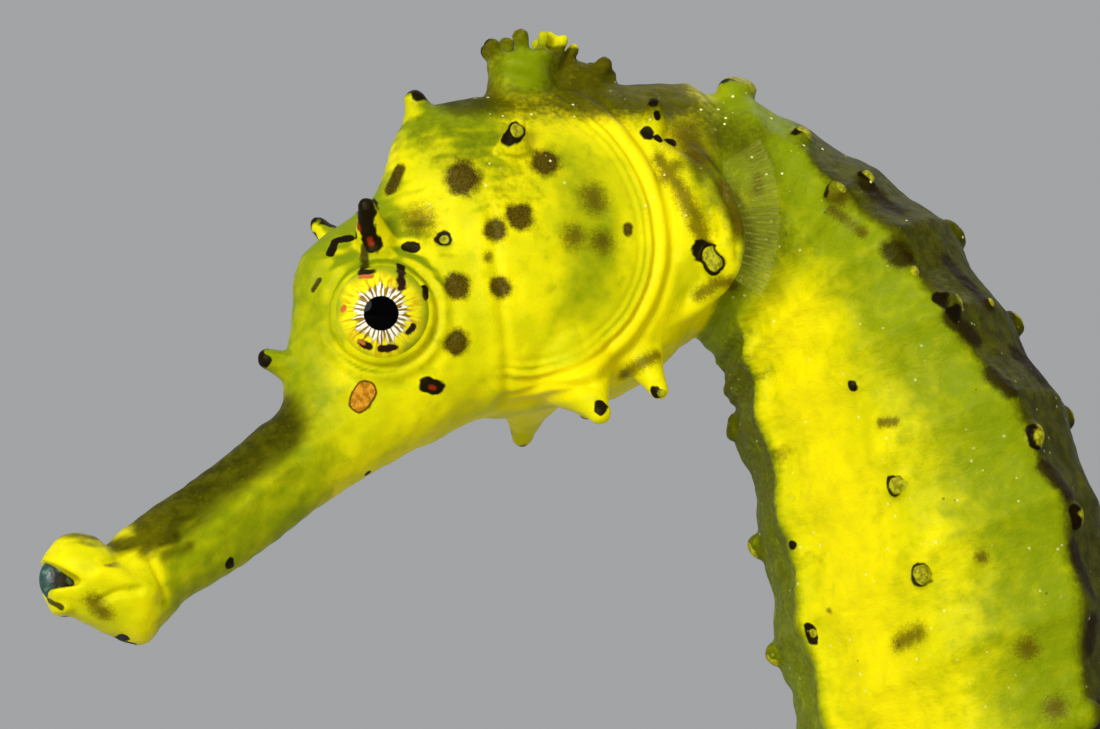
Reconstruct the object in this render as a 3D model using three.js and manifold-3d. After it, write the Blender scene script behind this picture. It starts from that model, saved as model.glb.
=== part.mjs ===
// A life-size yellow estuary seahorse, a still model on a small display stand.
// Millimetres, +Z up. The seahorse faces -X and its left side faces -Y.
// The origin is the centre of the underside of the stand's base.

import * as THREE from 'three';
import { mergeVertices } from 'three/addons/utils/BufferGeometryUtils.js';
import Module from 'manifold-3d';

const wasm = await Module();
wasm.setup();

const DEG = Math.PI / 180;

// ---------------------------------------------------------------- driving dimensions

const GAP = 0.3; // clear space between neighbouring pieces
const BODY_SHIFT = new THREE.Vector3( - 10.6, 0, 60.8 ); // body frame to stand frame

const HEAD_TURN = 22 * DEG; // the head looks a little to its left
const HEAD_PIVOT_X = 6; // the upright line it turns about
const HEAD_SIDES = 18;
const SPINE_SIDES = 6;

// Head cross sections from the lips to the nape, before the turn:
// [ upper edge x, upper edge z, lower edge x, lower edge z, half width, narrowness of the top ]
const HEAD_ROWS = [
	[ - 21.2, - 8.6, - 20.8, - 10.5, 0.85, 0 ],
	[ - 20.3, - 7.7, - 19.5, - 11.0, 1.45, 0 ],
	[ - 19.3, - 7.7, - 18.4, - 11.45, 1.7, 0 ],
	[ - 18.7, - 8.1, - 17.2, - 11.8, 1.75, 0 ],
	[ - 18.1, - 7.5, - 16.3, - 10.95, 1.6, 0 ],
	[ - 17.2, - 6.8, - 15.4, - 10.0, 1.5, 0 ],
	[ - 15.3, - 5.5, - 13.0, - 8.5, 1.5, 0 ],
	[ - 12.9, - 3.6, - 10.1, - 6.3, 1.65, 0 ],
	[ - 11.6, - 2.4, - 7.6, - 4.7, 1.9, 0.05 ],
	[ - 11.5, - 1.1, - 5.1, - 3.4, 2.3, 0.1 ],
	[ - 11.2, 0.95, - 3.6, - 2.65, 2.7, 0.15 ],
	[ - 10.8, 3.5, - 2.1, - 2.45, 3.1, 0.2 ],
	[ - 7.9, 6.0, - 0.7, - 2.1, 3.5, 0.25 ],
	[ - 6.4, 9.2, 0.6, - 1.85, 3.9, 0.25 ],
	[ - 2.6, 10.4, 2.1, - 1.6, 4.2, 0.25 ],
	[ 1.7, 11.0, 3.8, - 0.5, 4.15, 0.2 ],
	[ 5.3, 11.3, 4.7, 0.5, 3.9, 0.15 ],
];

const SNOUT_ROWS = 8; // rows up to the snout's root

// Cross sections of the nape, the eleven trunk rings and the tail's root, before the turn:
// [ back x, back z, belly x, belly z, half width, turn in degrees, narrowness of the top ]
const TRUNK_ROWS = [
	[ 5.3, 11.2, 4.7, 0.5, 3.9, 22, 0.15 ],
	[ 7.6, 11.3, 5.6, 0.9, 4.0, 15, 0.05 ],
	[ 10.3, 9.9, 6.2, 0.6, 4.1, 5, - 0.05 ],
	[ 13.3, 8.0, 6.6, 0.1, 4.3, - 6, - 0.15 ],
	[ 16.1, 5.7, 6.9, - 1.0, 4.5, - 15, - 0.25 ],
	[ 18.5, 2.1, 7.2, - 3.0, 4.7, - 21, - 0.3 ],
	[ 20.8, - 1.5, 7.9, - 7.0, 4.9, - 24, - 0.3 ],
	[ 22.3, - 5.6, 8.5, - 11.4, 5.0, - 24, - 0.3 ],
	[ 23.1, - 9.8, 9.5, - 15.0, 4.9, - 24, - 0.3 ],
	[ 23.2, - 14.0, 11.4, - 18.6, 4.6, - 24, - 0.25 ],
	[ 22.7, - 18.0, 13.7, - 21.8, 4.1, - 24, - 0.2 ],
	[ 21.9, - 21.6, 15.4, - 24.5, 3.5, - 24, - 0.1 ],
	[ 21.4, - 25.2, 15.9, - 26.8, 3.0, - 24, 0 ],
];
const TRUNK_RINGS = TRUNK_ROWS.length - 1;
const TRUNK_END = TRUNK_RINGS + 0.25; // the tail is a piece of its own from here

// The tail runs on from the trunk, bends forward and coils under the belly.
const TAIL = {
	rings: 36,
	length: 82,
	rootX: 18.7,
	rootZ: - 26.0,
	rootHalfDepth: 2.9,
	rootHalfWidth: 3.0,
	tipHalf: 0.42,
	heading: - 92 * DEG,
	slant: 17 * DEG, // lean of the first rings across the tail
	slackRadius: 34, // bend of the upper tail
	coilStart: 12, // where the coil sets in, along the tail
	coilFull: 28,
	coilTightness: 0.19, // how fast the coil opens with the length still to come
	innerRadius: 0.9, // bend at the tip
	ringCrowding: 1.5, // rings get shorter towards the tip
	turn: - 24,
	turnRings: 7, // rings over which the trunk's turn dies away
};

// Knobs where each ring crosses a ridge, as heights.
const KNOB = { upper: 0.5, side: 0.3, lower: 0.25, keel: 0.35, tail: 0.3 };
const GROOVE = 0.14;

const EYE = { x: - 8.4, z: 1.05, out: 2.35, radius: 1.95, depth: 1.35, forward: 18 * DEG };
const ORBIT = { x: - 8.15, out: 1.6, radius: 2.45, depth: 1.9 };
const GILL = { x: - 1.0, z: 4.6, halfLength: 3.1, halfHeight: 4.9, inner: 2.7, lean: 8 * DEG };

// Each fin is a fan: the half height of its root, the spread of its outer rays, its length,
// how far it is let into the body, and where the middle of its root lies.
const DORSAL_FIN = {
	rays: 17, rootHalf: 3.8, spread: 22 * DEG, length: 6.2, sunk: 0.8, thickness: 0.55,
	rootX: 21.9, z: - 21.6, slope: 7 * DEG,
};
const PECTORAL_FIN = {
	rays: 16, rootHalf: 2.5, spread: 50 * DEG, length: 2.5, sunk: 0.5, thickness: 0.5,
	rootX: 5.6, rootY: 4.75, z: 4.9, flare: 14 * DEG,
};
const ANAL_FIN = {
	rays: 4, rootHalf: 0.6, spread: 20 * DEG, length: 1.9, sunk: 0.8, thickness: 0.5,
	rootX: 16.1, z: - 26.0, slope: 20 * DEG,
};

const STAND = {
	radius: 21,
	height: 4,
	edge: 0.8,
	rodRadius: 1.1,
	frontRod: { x: - 9, top: 10.5 }, // into the underside of the coil
	backRod: { x: 5, top: 18.3 }, // into the underside of the upper tail
};

// ---------------------------------------------------------------- finishes

const finish = ( color, roughness, metalness = 0 ) => {

	return new THREE.MeshStandardMaterial( { color, roughness, metalness } );

};

const SKIN = 0xd8dc12;
const OLIVE = 0x7f8410;
const FIN = 0xb9bf52;
const EYEBALL = 0xe6d35a;
const WOOD = 0x4b3021;
const STEEL = 0xb9bcc0;

// ---------------------------------------------------------------- solids

function toSolid( geometry ) {

	geometry.deleteAttribute( 'normal' );
	geometry.deleteAttribute( 'uv' );
	const merged = mergeVertices( geometry, 1e-4 );
	return new wasm.Manifold( new wasm.Mesh( {
		numProp: 3,
		vertProperties: new Float32Array( merged.attributes.position.array ),
		triVerts: new Uint32Array( merged.index.array ),
	} ) );

}

function toGeometry( solid ) {

	const mesh = solid.getMesh();
	const geometry = new THREE.BufferGeometry();
	const points = new Float32Array( mesh.vertProperties );
	geometry.setAttribute( 'position', new THREE.BufferAttribute( points, 3 ) );
	geometry.setIndex( new THREE.BufferAttribute( new Uint32Array( mesh.triVerts ), 1 ) );
	return geometry;

}

const union = ( solids ) => solids.reduce( ( whole, solid ) => whole.add( solid ) );

// A closed skin over rings of points, each ring going the same way round.
function loft( rings ) {

	const sides = rings[ 0 ].length;
	const positions = [];
	const index = [];
	rings.forEach( ( ring ) => ring.forEach( ( p ) => positions.push( p.x, p.y, p.z ) ) );
	for ( let i = 0; i < rings.length - 1; i ++ ) {

		for ( let j = 0; j < sides; j ++ ) {

			const a = i * sides + j;
			const b = i * sides + ( j + 1 ) % sides;
			index.push( a, b, a + sides, b, b + sides, a + sides );

		}

	}

	[ 0, rings.length - 1 ].forEach( ( i ) => {

		const centre = rings[ i ].reduce( ( sum, p ) => sum.add( p ), new THREE.Vector3() ).divideScalar( sides );
		const middle = positions.length / 3;
		positions.push( centre.x, centre.y, centre.z );
		for ( let j = 0; j < sides; j ++ ) {

			const a = i * sides + j;
			const b = i * sides + ( j + 1 ) % sides;
			if ( i === 0 ) index.push( middle, b, a );
			else index.push( middle, a, b );

		}

	} );

	const geometry = new THREE.BufferGeometry();
	geometry.setAttribute( 'position', new THREE.Float32BufferAttribute( positions, 3 ) );
	geometry.setIndex( index );
	return geometry;

}

const ellipsoid = ( x, y, z, rx, ry, rz, across = 14, down = 9 ) => {

	const geometry = new THREE.SphereGeometry( 1, across, down );
	return geometry.scale( rx, ry, rz ).translate( x, y, z );

};

// A blunt cone with a flared foot and a round tip.
function spine( from, to, baseRadius, tipRadius ) {

	const axis = to.clone().sub( from );
	const length = axis.length();
	const neck = length - tipRadius;
	const profile = [ new THREE.Vector2( 0, 0 ) ];
	for ( const t of [ 0, 0.3, 0.65, 1 ] ) {

		const radius = tipRadius + ( baseRadius - tipRadius ) * ( 1 - t ) ** 1.35;
		profile.push( new THREE.Vector2( radius, neck * t ) );

	}

	profile.push( new THREE.Vector2( tipRadius * 0.7, neck + tipRadius * 0.7 ) );
	profile.push( new THREE.Vector2( 0, length ) );
	const turn = new THREE.Quaternion().setFromUnitVectors( new THREE.Vector3( 0, 1, 0 ), axis.normalize() );
	const geometry = new THREE.LatheGeometry( profile, SPINE_SIDES );
	return geometry.applyQuaternion( turn ).translate( from.x, from.y, from.z );

}

// An upright outline in x and z, extruded from y0 to y1.
function prism( outline, y0, y1 ) {

	const shape = new THREE.Shape( outline.map( ( [ x, z ] ) => new THREE.Vector2( x, z ) ) );
	const geometry = new THREE.ExtrudeGeometry( shape, { depth: y1 - y0, bevelEnabled: false } );
	return geometry.rotateX( Math.PI / 2 ).translate( 0, y1, 0 );

}

// A turn about an upright line through x.
const turnAbout = ( x, angle ) => new THREE.Matrix4()
	.makeTranslation( x, 0, 0 )
	.multiply( new THREE.Matrix4().makeRotationZ( angle ) )
	.multiply( new THREE.Matrix4().makeTranslation( - x, 0, 0 ) );

// ---------------------------------------------------------------- body form

const mix = THREE.MathUtils.lerp;
const smoothstep = THREE.MathUtils.smoothstep;

// Smooth values between rows of numbers.
function spline( rows, s ) {

	const last = rows.length - 1;
	const i = Math.min( Math.floor( s ), last - 1 );
	const f = s - i;
	const row = ( k ) => rows[ Math.min( Math.max( k, 0 ), last ) ];
	return rows[ i ].map( ( b, c ) => {

		const a = row( i - 1 )[ c ];
		const d = row( i + 1 )[ c ];
		const e = row( i + 2 )[ c ];
		return b + 0.5 * f * ( d - a + f * ( 2 * a - 5 * b + 4 * d - e + f * ( 3 * ( b - d ) + e - a ) ) );

	} );

}

// Where the tail's centre line has got to, and which way it heads, after a length along it.
const TAIL_STEP = 0.1;
const tailPath = [ { x: TAIL.rootX, z: TAIL.rootZ, heading: TAIL.heading } ];
for ( let n = 1; n * TAIL_STEP <= TAIL.length; n ++ ) {

	const before = tailPath[ n - 1 ];
	const run = n * TAIL_STEP;
	const coilRadius = TAIL.innerRadius + TAIL.coilTightness * ( TAIL.length - run );
	const coiled = smoothstep( run, TAIL.coilStart, TAIL.coilFull );
	const bend = mix( 1 / TAIL.slackRadius, 1 / coilRadius, coiled );
	const heading = before.heading - bend * TAIL_STEP;
	tailPath.push( {
		x: before.x + Math.cos( heading ) * TAIL_STEP,
		z: before.z + Math.sin( heading ) * TAIL_STEP,
		heading,
	} );

}

// The same row of numbers as in TRUNK_ROWS for a place along the tail, counted in rings.
function tailRow( ring ) {

	const run = TAIL.length * ( 1 - ( 1 - ring / TAIL.rings ) ** TAIL.ringCrowding );
	const at = tailPath[ Math.min( Math.round( run / TAIL_STEP ), tailPath.length - 1 ) ];
	const left = 1 - run / TAIL.length;
	const settled = smoothstep( ring, 0, TAIL.turnRings );
	const across = at.heading + Math.PI / 2 + mix( TAIL.slant, 0, settled );
	const halfDepth = mix( TAIL.tipHalf, TAIL.rootHalfDepth, left );
	const halfWidth = mix( TAIL.tipHalf, TAIL.rootHalfWidth, left );
	const dx = Math.cos( across ) * halfDepth;
	const dz = Math.sin( across ) * halfDepth;
	return [ at.x + dx, at.z + dz, at.x - dx, at.z - dz, halfWidth, mix( TAIL.turn, 0, settled ), 0 ];

}

const SPINE_ROWS = [ ...TRUNK_ROWS, tailRow( 1 ), tailRow( 2 ) ];
const bodyRow = ( s ) => s <= TRUNK_RINGS ? spline( SPINE_ROWS, s ) : tailRow( s - TRUNK_RINGS );

// The ridges along the body, on one side: angle down from the middle of the back,
// how far the ridge stands out as a share of the section, and the height of its knobs.
function ridges( s ) {

	const tail = smoothstep( s, TRUNK_RINGS - 2, TRUNK_RINGS + 2 );
	const neck = smoothstep( s, 0, 2.5 );
	const thin = s <= TRUNK_RINGS ? 1 : 1 - ( s - TRUNK_RINGS ) / TAIL.rings * 0.8;
	const ridge = ( onTrunk, onTail ) => ( {
		angle: mix( onTrunk.angle, onTail.angle, tail ),
		share: mix( onTrunk.share, onTail.share, tail ) * neck,
		knob: mix( onTrunk.knob, onTail.knob, tail ) * thin,
	} );
	return [
		ridge( { angle: 37, share: 0.09, knob: KNOB.upper }, { angle: 45, share: 0.3, knob: KNOB.tail } ),
		ridge( { angle: 80, share: 0.06, knob: KNOB.side }, { angle: 90, share: 0, knob: 0 } ),
		ridge( { angle: 130, share: 0.02, knob: KNOB.lower }, { angle: 135, share: 0.28, knob: KNOB.tail } ),
		ridge( { angle: 180, share: 0.02, knob: KNOB.keel }, { angle: 180, share: 0, knob: 0 } ),
	];

}

// A point of a slanting oval section between the upper and lower edge points of a row.
function sectionPoint( row, angle, swell, push ) {

	const [ ux, uz, lx, lz, halfWidth ] = row;
	const up = new THREE.Vector3( ux - lx, 0, uz - lz ).multiplyScalar( 0.5 );
	const middle = new THREE.Vector3( ( ux + lx ) / 2, 0, ( uz + lz ) / 2 );
	const narrow = row[ row.length - 1 ];
	const side = Math.sin( angle ) * ( 1 - narrow * Math.cos( angle ) ) * halfWidth;
	const point = up.clone().multiplyScalar( Math.cos( angle ) );
	point.y = - side;
	const outward = point.clone().normalize().multiplyScalar( push );
	return point.multiplyScalar( swell ).add( outward ).add( middle );

}

// One ring of points round the body. Whole values of s are the rings' crests.
// A fine ring also has a point between each two ridges.
function bodyRing( s, fine ) {

	const row = bodyRow( s );
	const crest = Math.cos( s * Math.PI ) ** 2;
	const half = ridges( s );
	let angles = [ 0, ...half.map( ( ridge ) => ridge.angle ) ];
	if ( fine ) angles = angles.flatMap( ( a, k ) => k === 0 ? [ a ] : [ ( a + angles[ k - 1 ] ) / 2, a ] );
	const round = [ ...angles, ...angles.slice( 1, - 1 ).reverse().map( ( a ) => 360 - a ) ];
	const turn = turnAbout( ( row[ 0 ] + row[ 2 ] ) / 2, row[ 5 ] * DEG );
	const neck = smoothstep( s, 0.2, 1 );
	return round.map( ( angle ) => {

		const folded = angle > 180 ? 360 - angle : angle;
		const ridge = half.find( ( r ) => Math.abs( r.angle - folded ) < 1e-6 );
		const swell = 0.96 + ( ridge ? ridge.share + 0.02 : 0 );
		const push = ( ridge ? ridge.knob * crest : 0 ) * neck - GROOVE * ( 1 - crest ) * neck;
		return sectionPoint( row, angle * DEG, swell, push ).applyMatrix4( turn );

	} );

}

function bodyLength( from, to ) {

	const rings = [];
	const fine = from < TRUNK_END;
	rings.push( bodyRing( from, fine ) );
	for ( let s = Math.floor( from * 2 + 1 ) / 2; s < to; s += 0.5 ) rings.push( bodyRing( s, fine ) );
	rings.push( bodyRing( to, fine ) );
	return toSolid( loft( rings ) );

}

// A block that ends the body half a gap short of s. It lies ahead of s (way 1) or behind it (way -1).
function endBlock( s, way, depth = 1.5 ) {

	const row = bodyRow( s );
	const along = new THREE.Vector3( row[ 0 ] - row[ 2 ], 0, row[ 1 ] - row[ 3 ] );
	const reach = along.length() / 2 + 1;
	along.normalize();
	const side = new THREE.Vector3( 0, 1, 0 );
	const onward = new THREE.Vector3().crossVectors( side, along );
	const box = new THREE.BoxGeometry( 2 * reach, 2 * reach, depth + GAP / 2 );
	box.translate( 0, 0, way * ( depth / 2 - GAP / 4 ) );
	box.applyMatrix4( new THREE.Matrix4().makeBasis( side, along, onward ) );
	box.translate( ( row[ 0 ] + row[ 2 ] ) / 2, 0, ( row[ 1 ] + row[ 3 ] ) / 2 );
	box.applyMatrix4( turnAbout( ( row[ 0 ] + row[ 2 ] ) / 2, row[ 5 ] * DEG ) );
	return toSolid( box );

}

// ---------------------------------------------------------------- head

const headPlace = turnAbout( HEAD_PIVOT_X, HEAD_TURN );
const v = ( x, y, z ) => new THREE.Vector3( x, y, z );
const bothSides = ( make ) => [ - 1, 1 ].map( make );

function headShell() {

	const rings = [];
	const last = HEAD_ROWS.length - 1;
	for ( let s = 0; s <= last; s += s < SNOUT_ROWS ? 1 : 0.5 ) {

		const row = spline( HEAD_ROWS, s );
		const ring = [];
		for ( let j = 0; j < HEAD_SIDES; j ++ ) {

			ring.push( sectionPoint( row, j / HEAD_SIDES * 2 * Math.PI, 1, 0 ) );

		}

		rings.push( ring );

	}

	return toSolid( loft( rings ) );

}

function headSpines() {

	const paired = ( side ) => [
		spine( v( - 8.1, side * 1.2, 3.4 ), v( - 9.35, side * 2.95, 5.35 ), 1.3, 0.36 ), // brow
		spine( v( - 0.5, side * 2.3, - 0.7 ), v( 0.05, side * 4.35, - 3.0 ), 2.0, 0.46 ), // cheek
		spine( v( 2.1, side * 2.0, 0.8 ), v( 2.7, side * 3.9, - 1.9 ), 1.45, 0.36 ), // throat
		spine( v( - 3.1, side * 2.7, 7.8 ), v( - 3.2, side * 3.55, 8.9 ), 0.8, 0.34 ), // temple
		spine( v( 2.9, side * 2.4, 9.0 ), v( 2.7, side * 3.3, 10.0 ), 0.8, 0.36 ), // nape
	];
	return [
		spine( v( - 10.6, 0, - 1.1 ), v( - 12.6, 0, - 0.5 ), 0.95, 0.44 ), // nose
		spine( v( - 5.6, 0, 8.4 ), v( - 6.35, 0, 10.3 ), 1.4, 0.44 ), // forehead
		spine( v( 1.6, 0, 10.2 ), v( 2.1, 0, 11.75 ), 1.1, 0.42 ), // behind the crown
		...paired( - 1 ),
		...paired( 1 ),
	].map( toSolid );

}

// The small rounded knobs on the crown, before the head's turn: [ x, y, z, radius ].
const CROWN_KNOBS = [
	[ - 3.1, - 0.45, 12.2, 0.36 ],
	[ - 2.95, 0.5, 12.15, 0.32 ],
	[ - 2.1, - 0.95, 12.55, 0.36 ],
	[ - 2.0, 0.9, 12.5, 0.36 ],
	[ - 1.05, - 0.75, 12.7, 0.26 ],
	[ - 0.6, - 0.3, 12.76, 0.28 ],
	[ - 0.15, - 0.6, 12.62, 0.25 ],
	[ - 0.7, 0.75, 12.6, 0.3 ],
	[ 0.45, - 0.2, 12.35, 0.28 ],
	[ 0.3, 0.6, 12.3, 0.28 ],
];

// The crown: a broad short stalk that flares into rounded knobs.
function crown() {

	const profile = [
		[ 0, - 1.6 ], [ 2.1, - 1.6 ], [ 1.5, - 0.3 ], [ 1.36, 0.7 ],
		[ 1.5, 1.3 ], [ 1.45, 1.6 ], [ 0.8, 1.75 ], [ 0, 1.6 ],
	].map( ( [ r, h ] ) => new THREE.Vector2( r, h ) );
	const lean = new THREE.Matrix4().set( 1, 0.12, 0, 0, 0.1, 1, 0, 0, 0, 0, 0.9, 0, 0, 0, 0, 1 );
	const upright = new THREE.Matrix4().makeRotationX( Math.PI / 2 );
	const place = new THREE.Matrix4().makeTranslation( - 1.75, 0, 10.4 ).multiply( upright ).multiply( lean );
	const stalk = new THREE.LatheGeometry( profile, 12 ).applyMatrix4( place );
	const parts = [ toSolid( stalk ) ];
	for ( const [ x, y, z, radius ] of CROWN_KNOBS ) {

		const foot = v( ( x - 0.87 ) * 0.6, y * 0.7, 11.2 );
		parts.push( toSolid( spine( foot, v( x, y, z + radius ), radius, radius ) ) );

	}

	return union( parts );

}

// The eyes and the domes they sit in look a little forward.
function eyeForm( side, x, out, radius, depth ) {

	const geometry = ellipsoid( 0, 0, 0, radius, depth, radius );
	return toSolid( geometry.rotateZ( side * EYE.forward ).translate( x, side * out, EYE.z ) );

}

const eyeball = ( side, extra = 0 ) => {

	return eyeForm( side, EYE.x, EYE.out, EYE.radius + extra, EYE.depth + extra );

};
const orbit = ( side ) => eyeForm( side, ORBIT.x, ORBIT.out, ORBIT.radius, ORBIT.depth );

// A gill cover's outline as an upright plug, let into the side of the head.
function gillPlug( side, extra ) {

	const outline = [];
	const steps = 24;
	for ( let i = 0; i < steps; i ++ ) {

		const a = i / steps * 2 * Math.PI;
		const x = Math.cos( a ) * ( GILL.halfLength + extra );
		const z = Math.sin( a ) * ( GILL.halfHeight + extra );
		const leanX = x * Math.cos( GILL.lean ) + z * Math.sin( GILL.lean );
		const leanZ = z * Math.cos( GILL.lean ) - x * Math.sin( GILL.lean );
		outline.push( [ GILL.x + leanX, GILL.z + leanZ ] );

	}

	const near = GILL.inner - extra;
	return toSolid( side < 0 ? prism( outline, - 6, - near ) : prism( outline, near, 6 ) );

}

// Regions of the head, as upright outlines that lie a gap apart.
const MOUTH = { cornerX: - 19.7, cornerZ: - 9.55, openTop: - 8.9, openBottom: - 10.0, frontX: - 23 };
const SNOUT_TOP = [ - 18.5, - 5.8 ]; // above the upper jaw's rear end
const JAW_HINGE = [ - 18.05, - 10.05 ];
const CHIN_BACK = [ - 15.4, - 11.6 ]; // behind the lower jaw
const CROWN_CUT = [ [ - 4.2, 10.55 ], [ 1.45, 11.35 ] ]; // under the crown
const SNOUT_CUT = [ [ - 12.9, - 1.0 ], [ - 6.6, - 6.4 ] ];

function slab( [ [ ax, az ], [ bx, bz ] ], thickness = GAP ) {

	const length = Math.hypot( bx - ax, bz - az );
	const nx = - ( bz - az ) / length * thickness / 2;
	const nz = ( bx - ax ) / length * thickness / 2;
	return [ [ ax + nx, az + nz ], [ ax - nx, az - nz ], [ bx - nx, bz - nz ], [ bx + nx, bz + nz ] ];

}

function headPieces() {

	const wide = 7;
	const across = ( outline ) => toSolid( prism( outline, - wide, wide ) );
	const mouth = across( [
		[ MOUTH.frontX, MOUTH.openTop ],
		[ MOUTH.frontX, MOUTH.openBottom ],
		[ MOUTH.cornerX, MOUTH.cornerZ - GAP / 2 ],
		[ MOUTH.cornerX, MOUTH.cornerZ + GAP / 2 ],
	] );
	const gape = across( slab( [ [ MOUTH.cornerX - 0.3, MOUTH.cornerZ ], JAW_HINGE ] ) );
	const chinCut = across( slab( [ JAW_HINGE, CHIN_BACK ] ) );
	const jawCut = across( slab( [ SNOUT_TOP, JAW_HINGE ] ) );
	const snoutCut = across( slab( SNOUT_CUT ) );

	let whole = union( [ headShell(), ...bothSides( orbit ), ...headSpines() ] );
	const sockets = union( bothSides( ( side ) => eyeball( side, GAP ) ) );
	whole = whole.subtract( sockets ).subtract( mouth );

	const crownBlock = across( [ CROWN_CUT[ 0 ], CROWN_CUT[ 1 ], [ 1.45, 16 ], [ - 4.8, 16 ] ] );
	const crownCut = across( slab( CROWN_CUT ) );
	const upper = crown();
	const withCrown = whole.add( upper );
	const cuts = union( [ gape, chinCut, jawCut, snoutCut ] );
	const parted = withCrown.subtract( cuts ).subtract( crownCut );

	const gapeLine = [ [ - 23, - 9.4 ], [ MOUTH.cornerX, MOUTH.cornerZ ], JAW_HINGE ];
	const belowChin = [ - 15.2, - 13 ];
	const jawLower = [ ...gapeLine, CHIN_BACK, belowChin, [ - 23, - 13 ] ];
	const jawUpper = [ ...gapeLine, SNOUT_TOP, [ - 23, - 5.8 ] ];
	const snout = [ SNOUT_TOP, JAW_HINGE, CHIN_BACK, belowChin, [ - 6, - 9 ], SNOUT_CUT[ 1 ], SNOUT_CUT[ 0 ] ];
	const napeZ = 20;
	const back = [ SNOUT_CUT[ 0 ], SNOUT_CUT[ 1 ], [ 0, - 12 ], [ 12, - 12 ], [ 12, napeZ ], [ - 13, napeZ ] ];
	const plugs = bothSides( ( side ) => gillPlug( side, 0 ) );
	const skull = parted.intersect( across( back ) ).subtract( crownBlock );

	return {
		jaw_upper: parted.intersect( across( jawUpper ) ),
		jaw_lower: parted.intersect( across( jawLower ) ),
		snout: parted.intersect( across( snout ) ),
		head: skull,
		coronet: parted.intersect( crownBlock ),
		gill_cover_left: whole.intersect( plugs[ 0 ] ),
		gill_cover_right: whole.intersect( plugs[ 1 ] ),
	};

}

// ---------------------------------------------------------------- fins

// A fan with a scalloped edge, in x (outwards) and z (upwards). Its rays spread from a root line.
function fanOutline( { rays, rootHalf, spread, length, sunk }, extra = 0 ) {

	const outline = [ [ - sunk - extra, - rootHalf - extra ] ];
	const steps = ( rays - 1 ) * 2;
	for ( let i = 0; i <= steps; i ++ ) {

		const t = i / steps * 2 - 1;
		const scallop = i % 2 === 0 ? 1 : 0.94;
		const ray = length * ( 1 - 0.25 * t ** 2 ) * scallop + 2 * extra;
		const x = ray * Math.cos( spread * t );
		outline.push( [ x, ( rootHalf + extra ) * t + ray * Math.sin( spread * t ) ] );

	}

	outline.push( [ - sunk - extra, rootHalf + extra ] );
	return outline;

}

const dorsalPlace = turnAbout( 18.5, TAIL.turn * DEG );

function dorsalFin( extra = 0 ) {

	const outline = fanOutline( DORSAL_FIN, extra );
	const y = DORSAL_FIN.thickness / 2 + extra;
	const geometry = prism( outline, - y, y );
	geometry.rotateY( DORSAL_FIN.slope ).translate( DORSAL_FIN.rootX, 0, DORSAL_FIN.z );
	return toSolid( geometry.applyMatrix4( dorsalPlace ) );

}

const neckPlace = turnAbout( 6.6, 13 * DEG );

function pectoralFin( side, extra = 0 ) {

	const { thickness, rootX, rootY, z, flare } = PECTORAL_FIN;
	const y = thickness / 2 + extra;
	const geometry = prism( fanOutline( PECTORAL_FIN, extra ), - y, y );
	geometry.rotateZ( side * flare ).translate( rootX, side * rootY, z );
	return toSolid( geometry.applyMatrix4( neckPlace ) );

}

function analFin( extra = 0 ) {

	const y = ANAL_FIN.thickness / 2 + extra;
	const geometry = prism( fanOutline( ANAL_FIN, extra ), - y, y );
	geometry.rotateY( Math.PI + ANAL_FIN.slope ).translate( ANAL_FIN.rootX, 0, ANAL_FIN.z );
	return toSolid( geometry.applyMatrix4( dorsalPlace ) );

}

// ---------------------------------------------------------------- stand

function standBase() {

	const { radius, height, edge } = STAND;
	const profile = [
		[ 0, 0 ], [ radius - 0.5, 0 ], [ radius, 0.5 ], [ radius, height - 1.6 ], [ radius - edge, height - 1.2 ],
		[ radius - edge, height - 0.5 ], [ radius - edge - 0.5, height ], [ 0, height ],
	].map( ( [ r, h ] ) => new THREE.Vector2( r, h ) );
	return toSolid( new THREE.LatheGeometry( profile, 32 ).rotateX( Math.PI / 2 ) );

}

function rod( x, top, extra = 0 ) {

	const r = STAND.rodRadius + extra;
	const foot = STAND.height - 2;
	const tip = top + extra;
	const profile = [
		[ 0, foot - extra ], [ r, foot - extra ], [ r, tip - 0.3 ], [ r - 0.3, tip ], [ 0, tip ],
	].map( ( [ radius, height ] ) => new THREE.Vector2( radius, height ) );
	return toSolid( new THREE.LatheGeometry( profile, 16 ).rotateX( Math.PI / 2 ).translate( x, 0, 0 ) );

}

// ---------------------------------------------------------------- assembly

const model = new THREE.Group();

function addPiece( name, solid, material ) {

	const mesh = new THREE.Mesh( toGeometry( solid ), material );
	mesh.name = name;
	model.add( mesh );

}

const toStand = new THREE.Matrix4().makeTranslation( BODY_SHIFT.x, BODY_SHIFT.y, BODY_SHIFT.z );
const placed = ( solid, ...steps ) => {

	const geometry = toGeometry( solid );
	steps.forEach( ( step ) => geometry.applyMatrix4( step ) );
	return toSolid( geometry );

};

const finSlots = union( [
	dorsalFin( GAP ),
	analFin( GAP ),
	...bothSides( ( side ) => pectoralFin( side, GAP ) ),
] );
const gillPits = placed( union( bothSides( ( side ) => gillPlug( side, GAP ) ) ), headPlace );
for ( const [ name, solid ] of Object.entries( headPieces() ) ) {

	let turned = placed( solid, headPlace );
	if ( name === 'head' ) turned = union( [ turned, ...shoulders() ] ).subtract( endBlock( 0, 1, 6 ) );
	if ( name === 'head' ) turned = turned.subtract( gillPits ).subtract( finSlots );
	addPiece( name, placed( turned, toStand ), finish( name === 'snout' ? OLIVE : SKIN, 0.45 ) );

}

bothSides( ( side ) => {

	const eye = placed( eyeball( side ), headPlace, toStand );
	addPiece( side < 0 ? 'eye_left' : 'eye_right', eye, finish( EYEBALL, 0.12 ) );

} );

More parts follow.
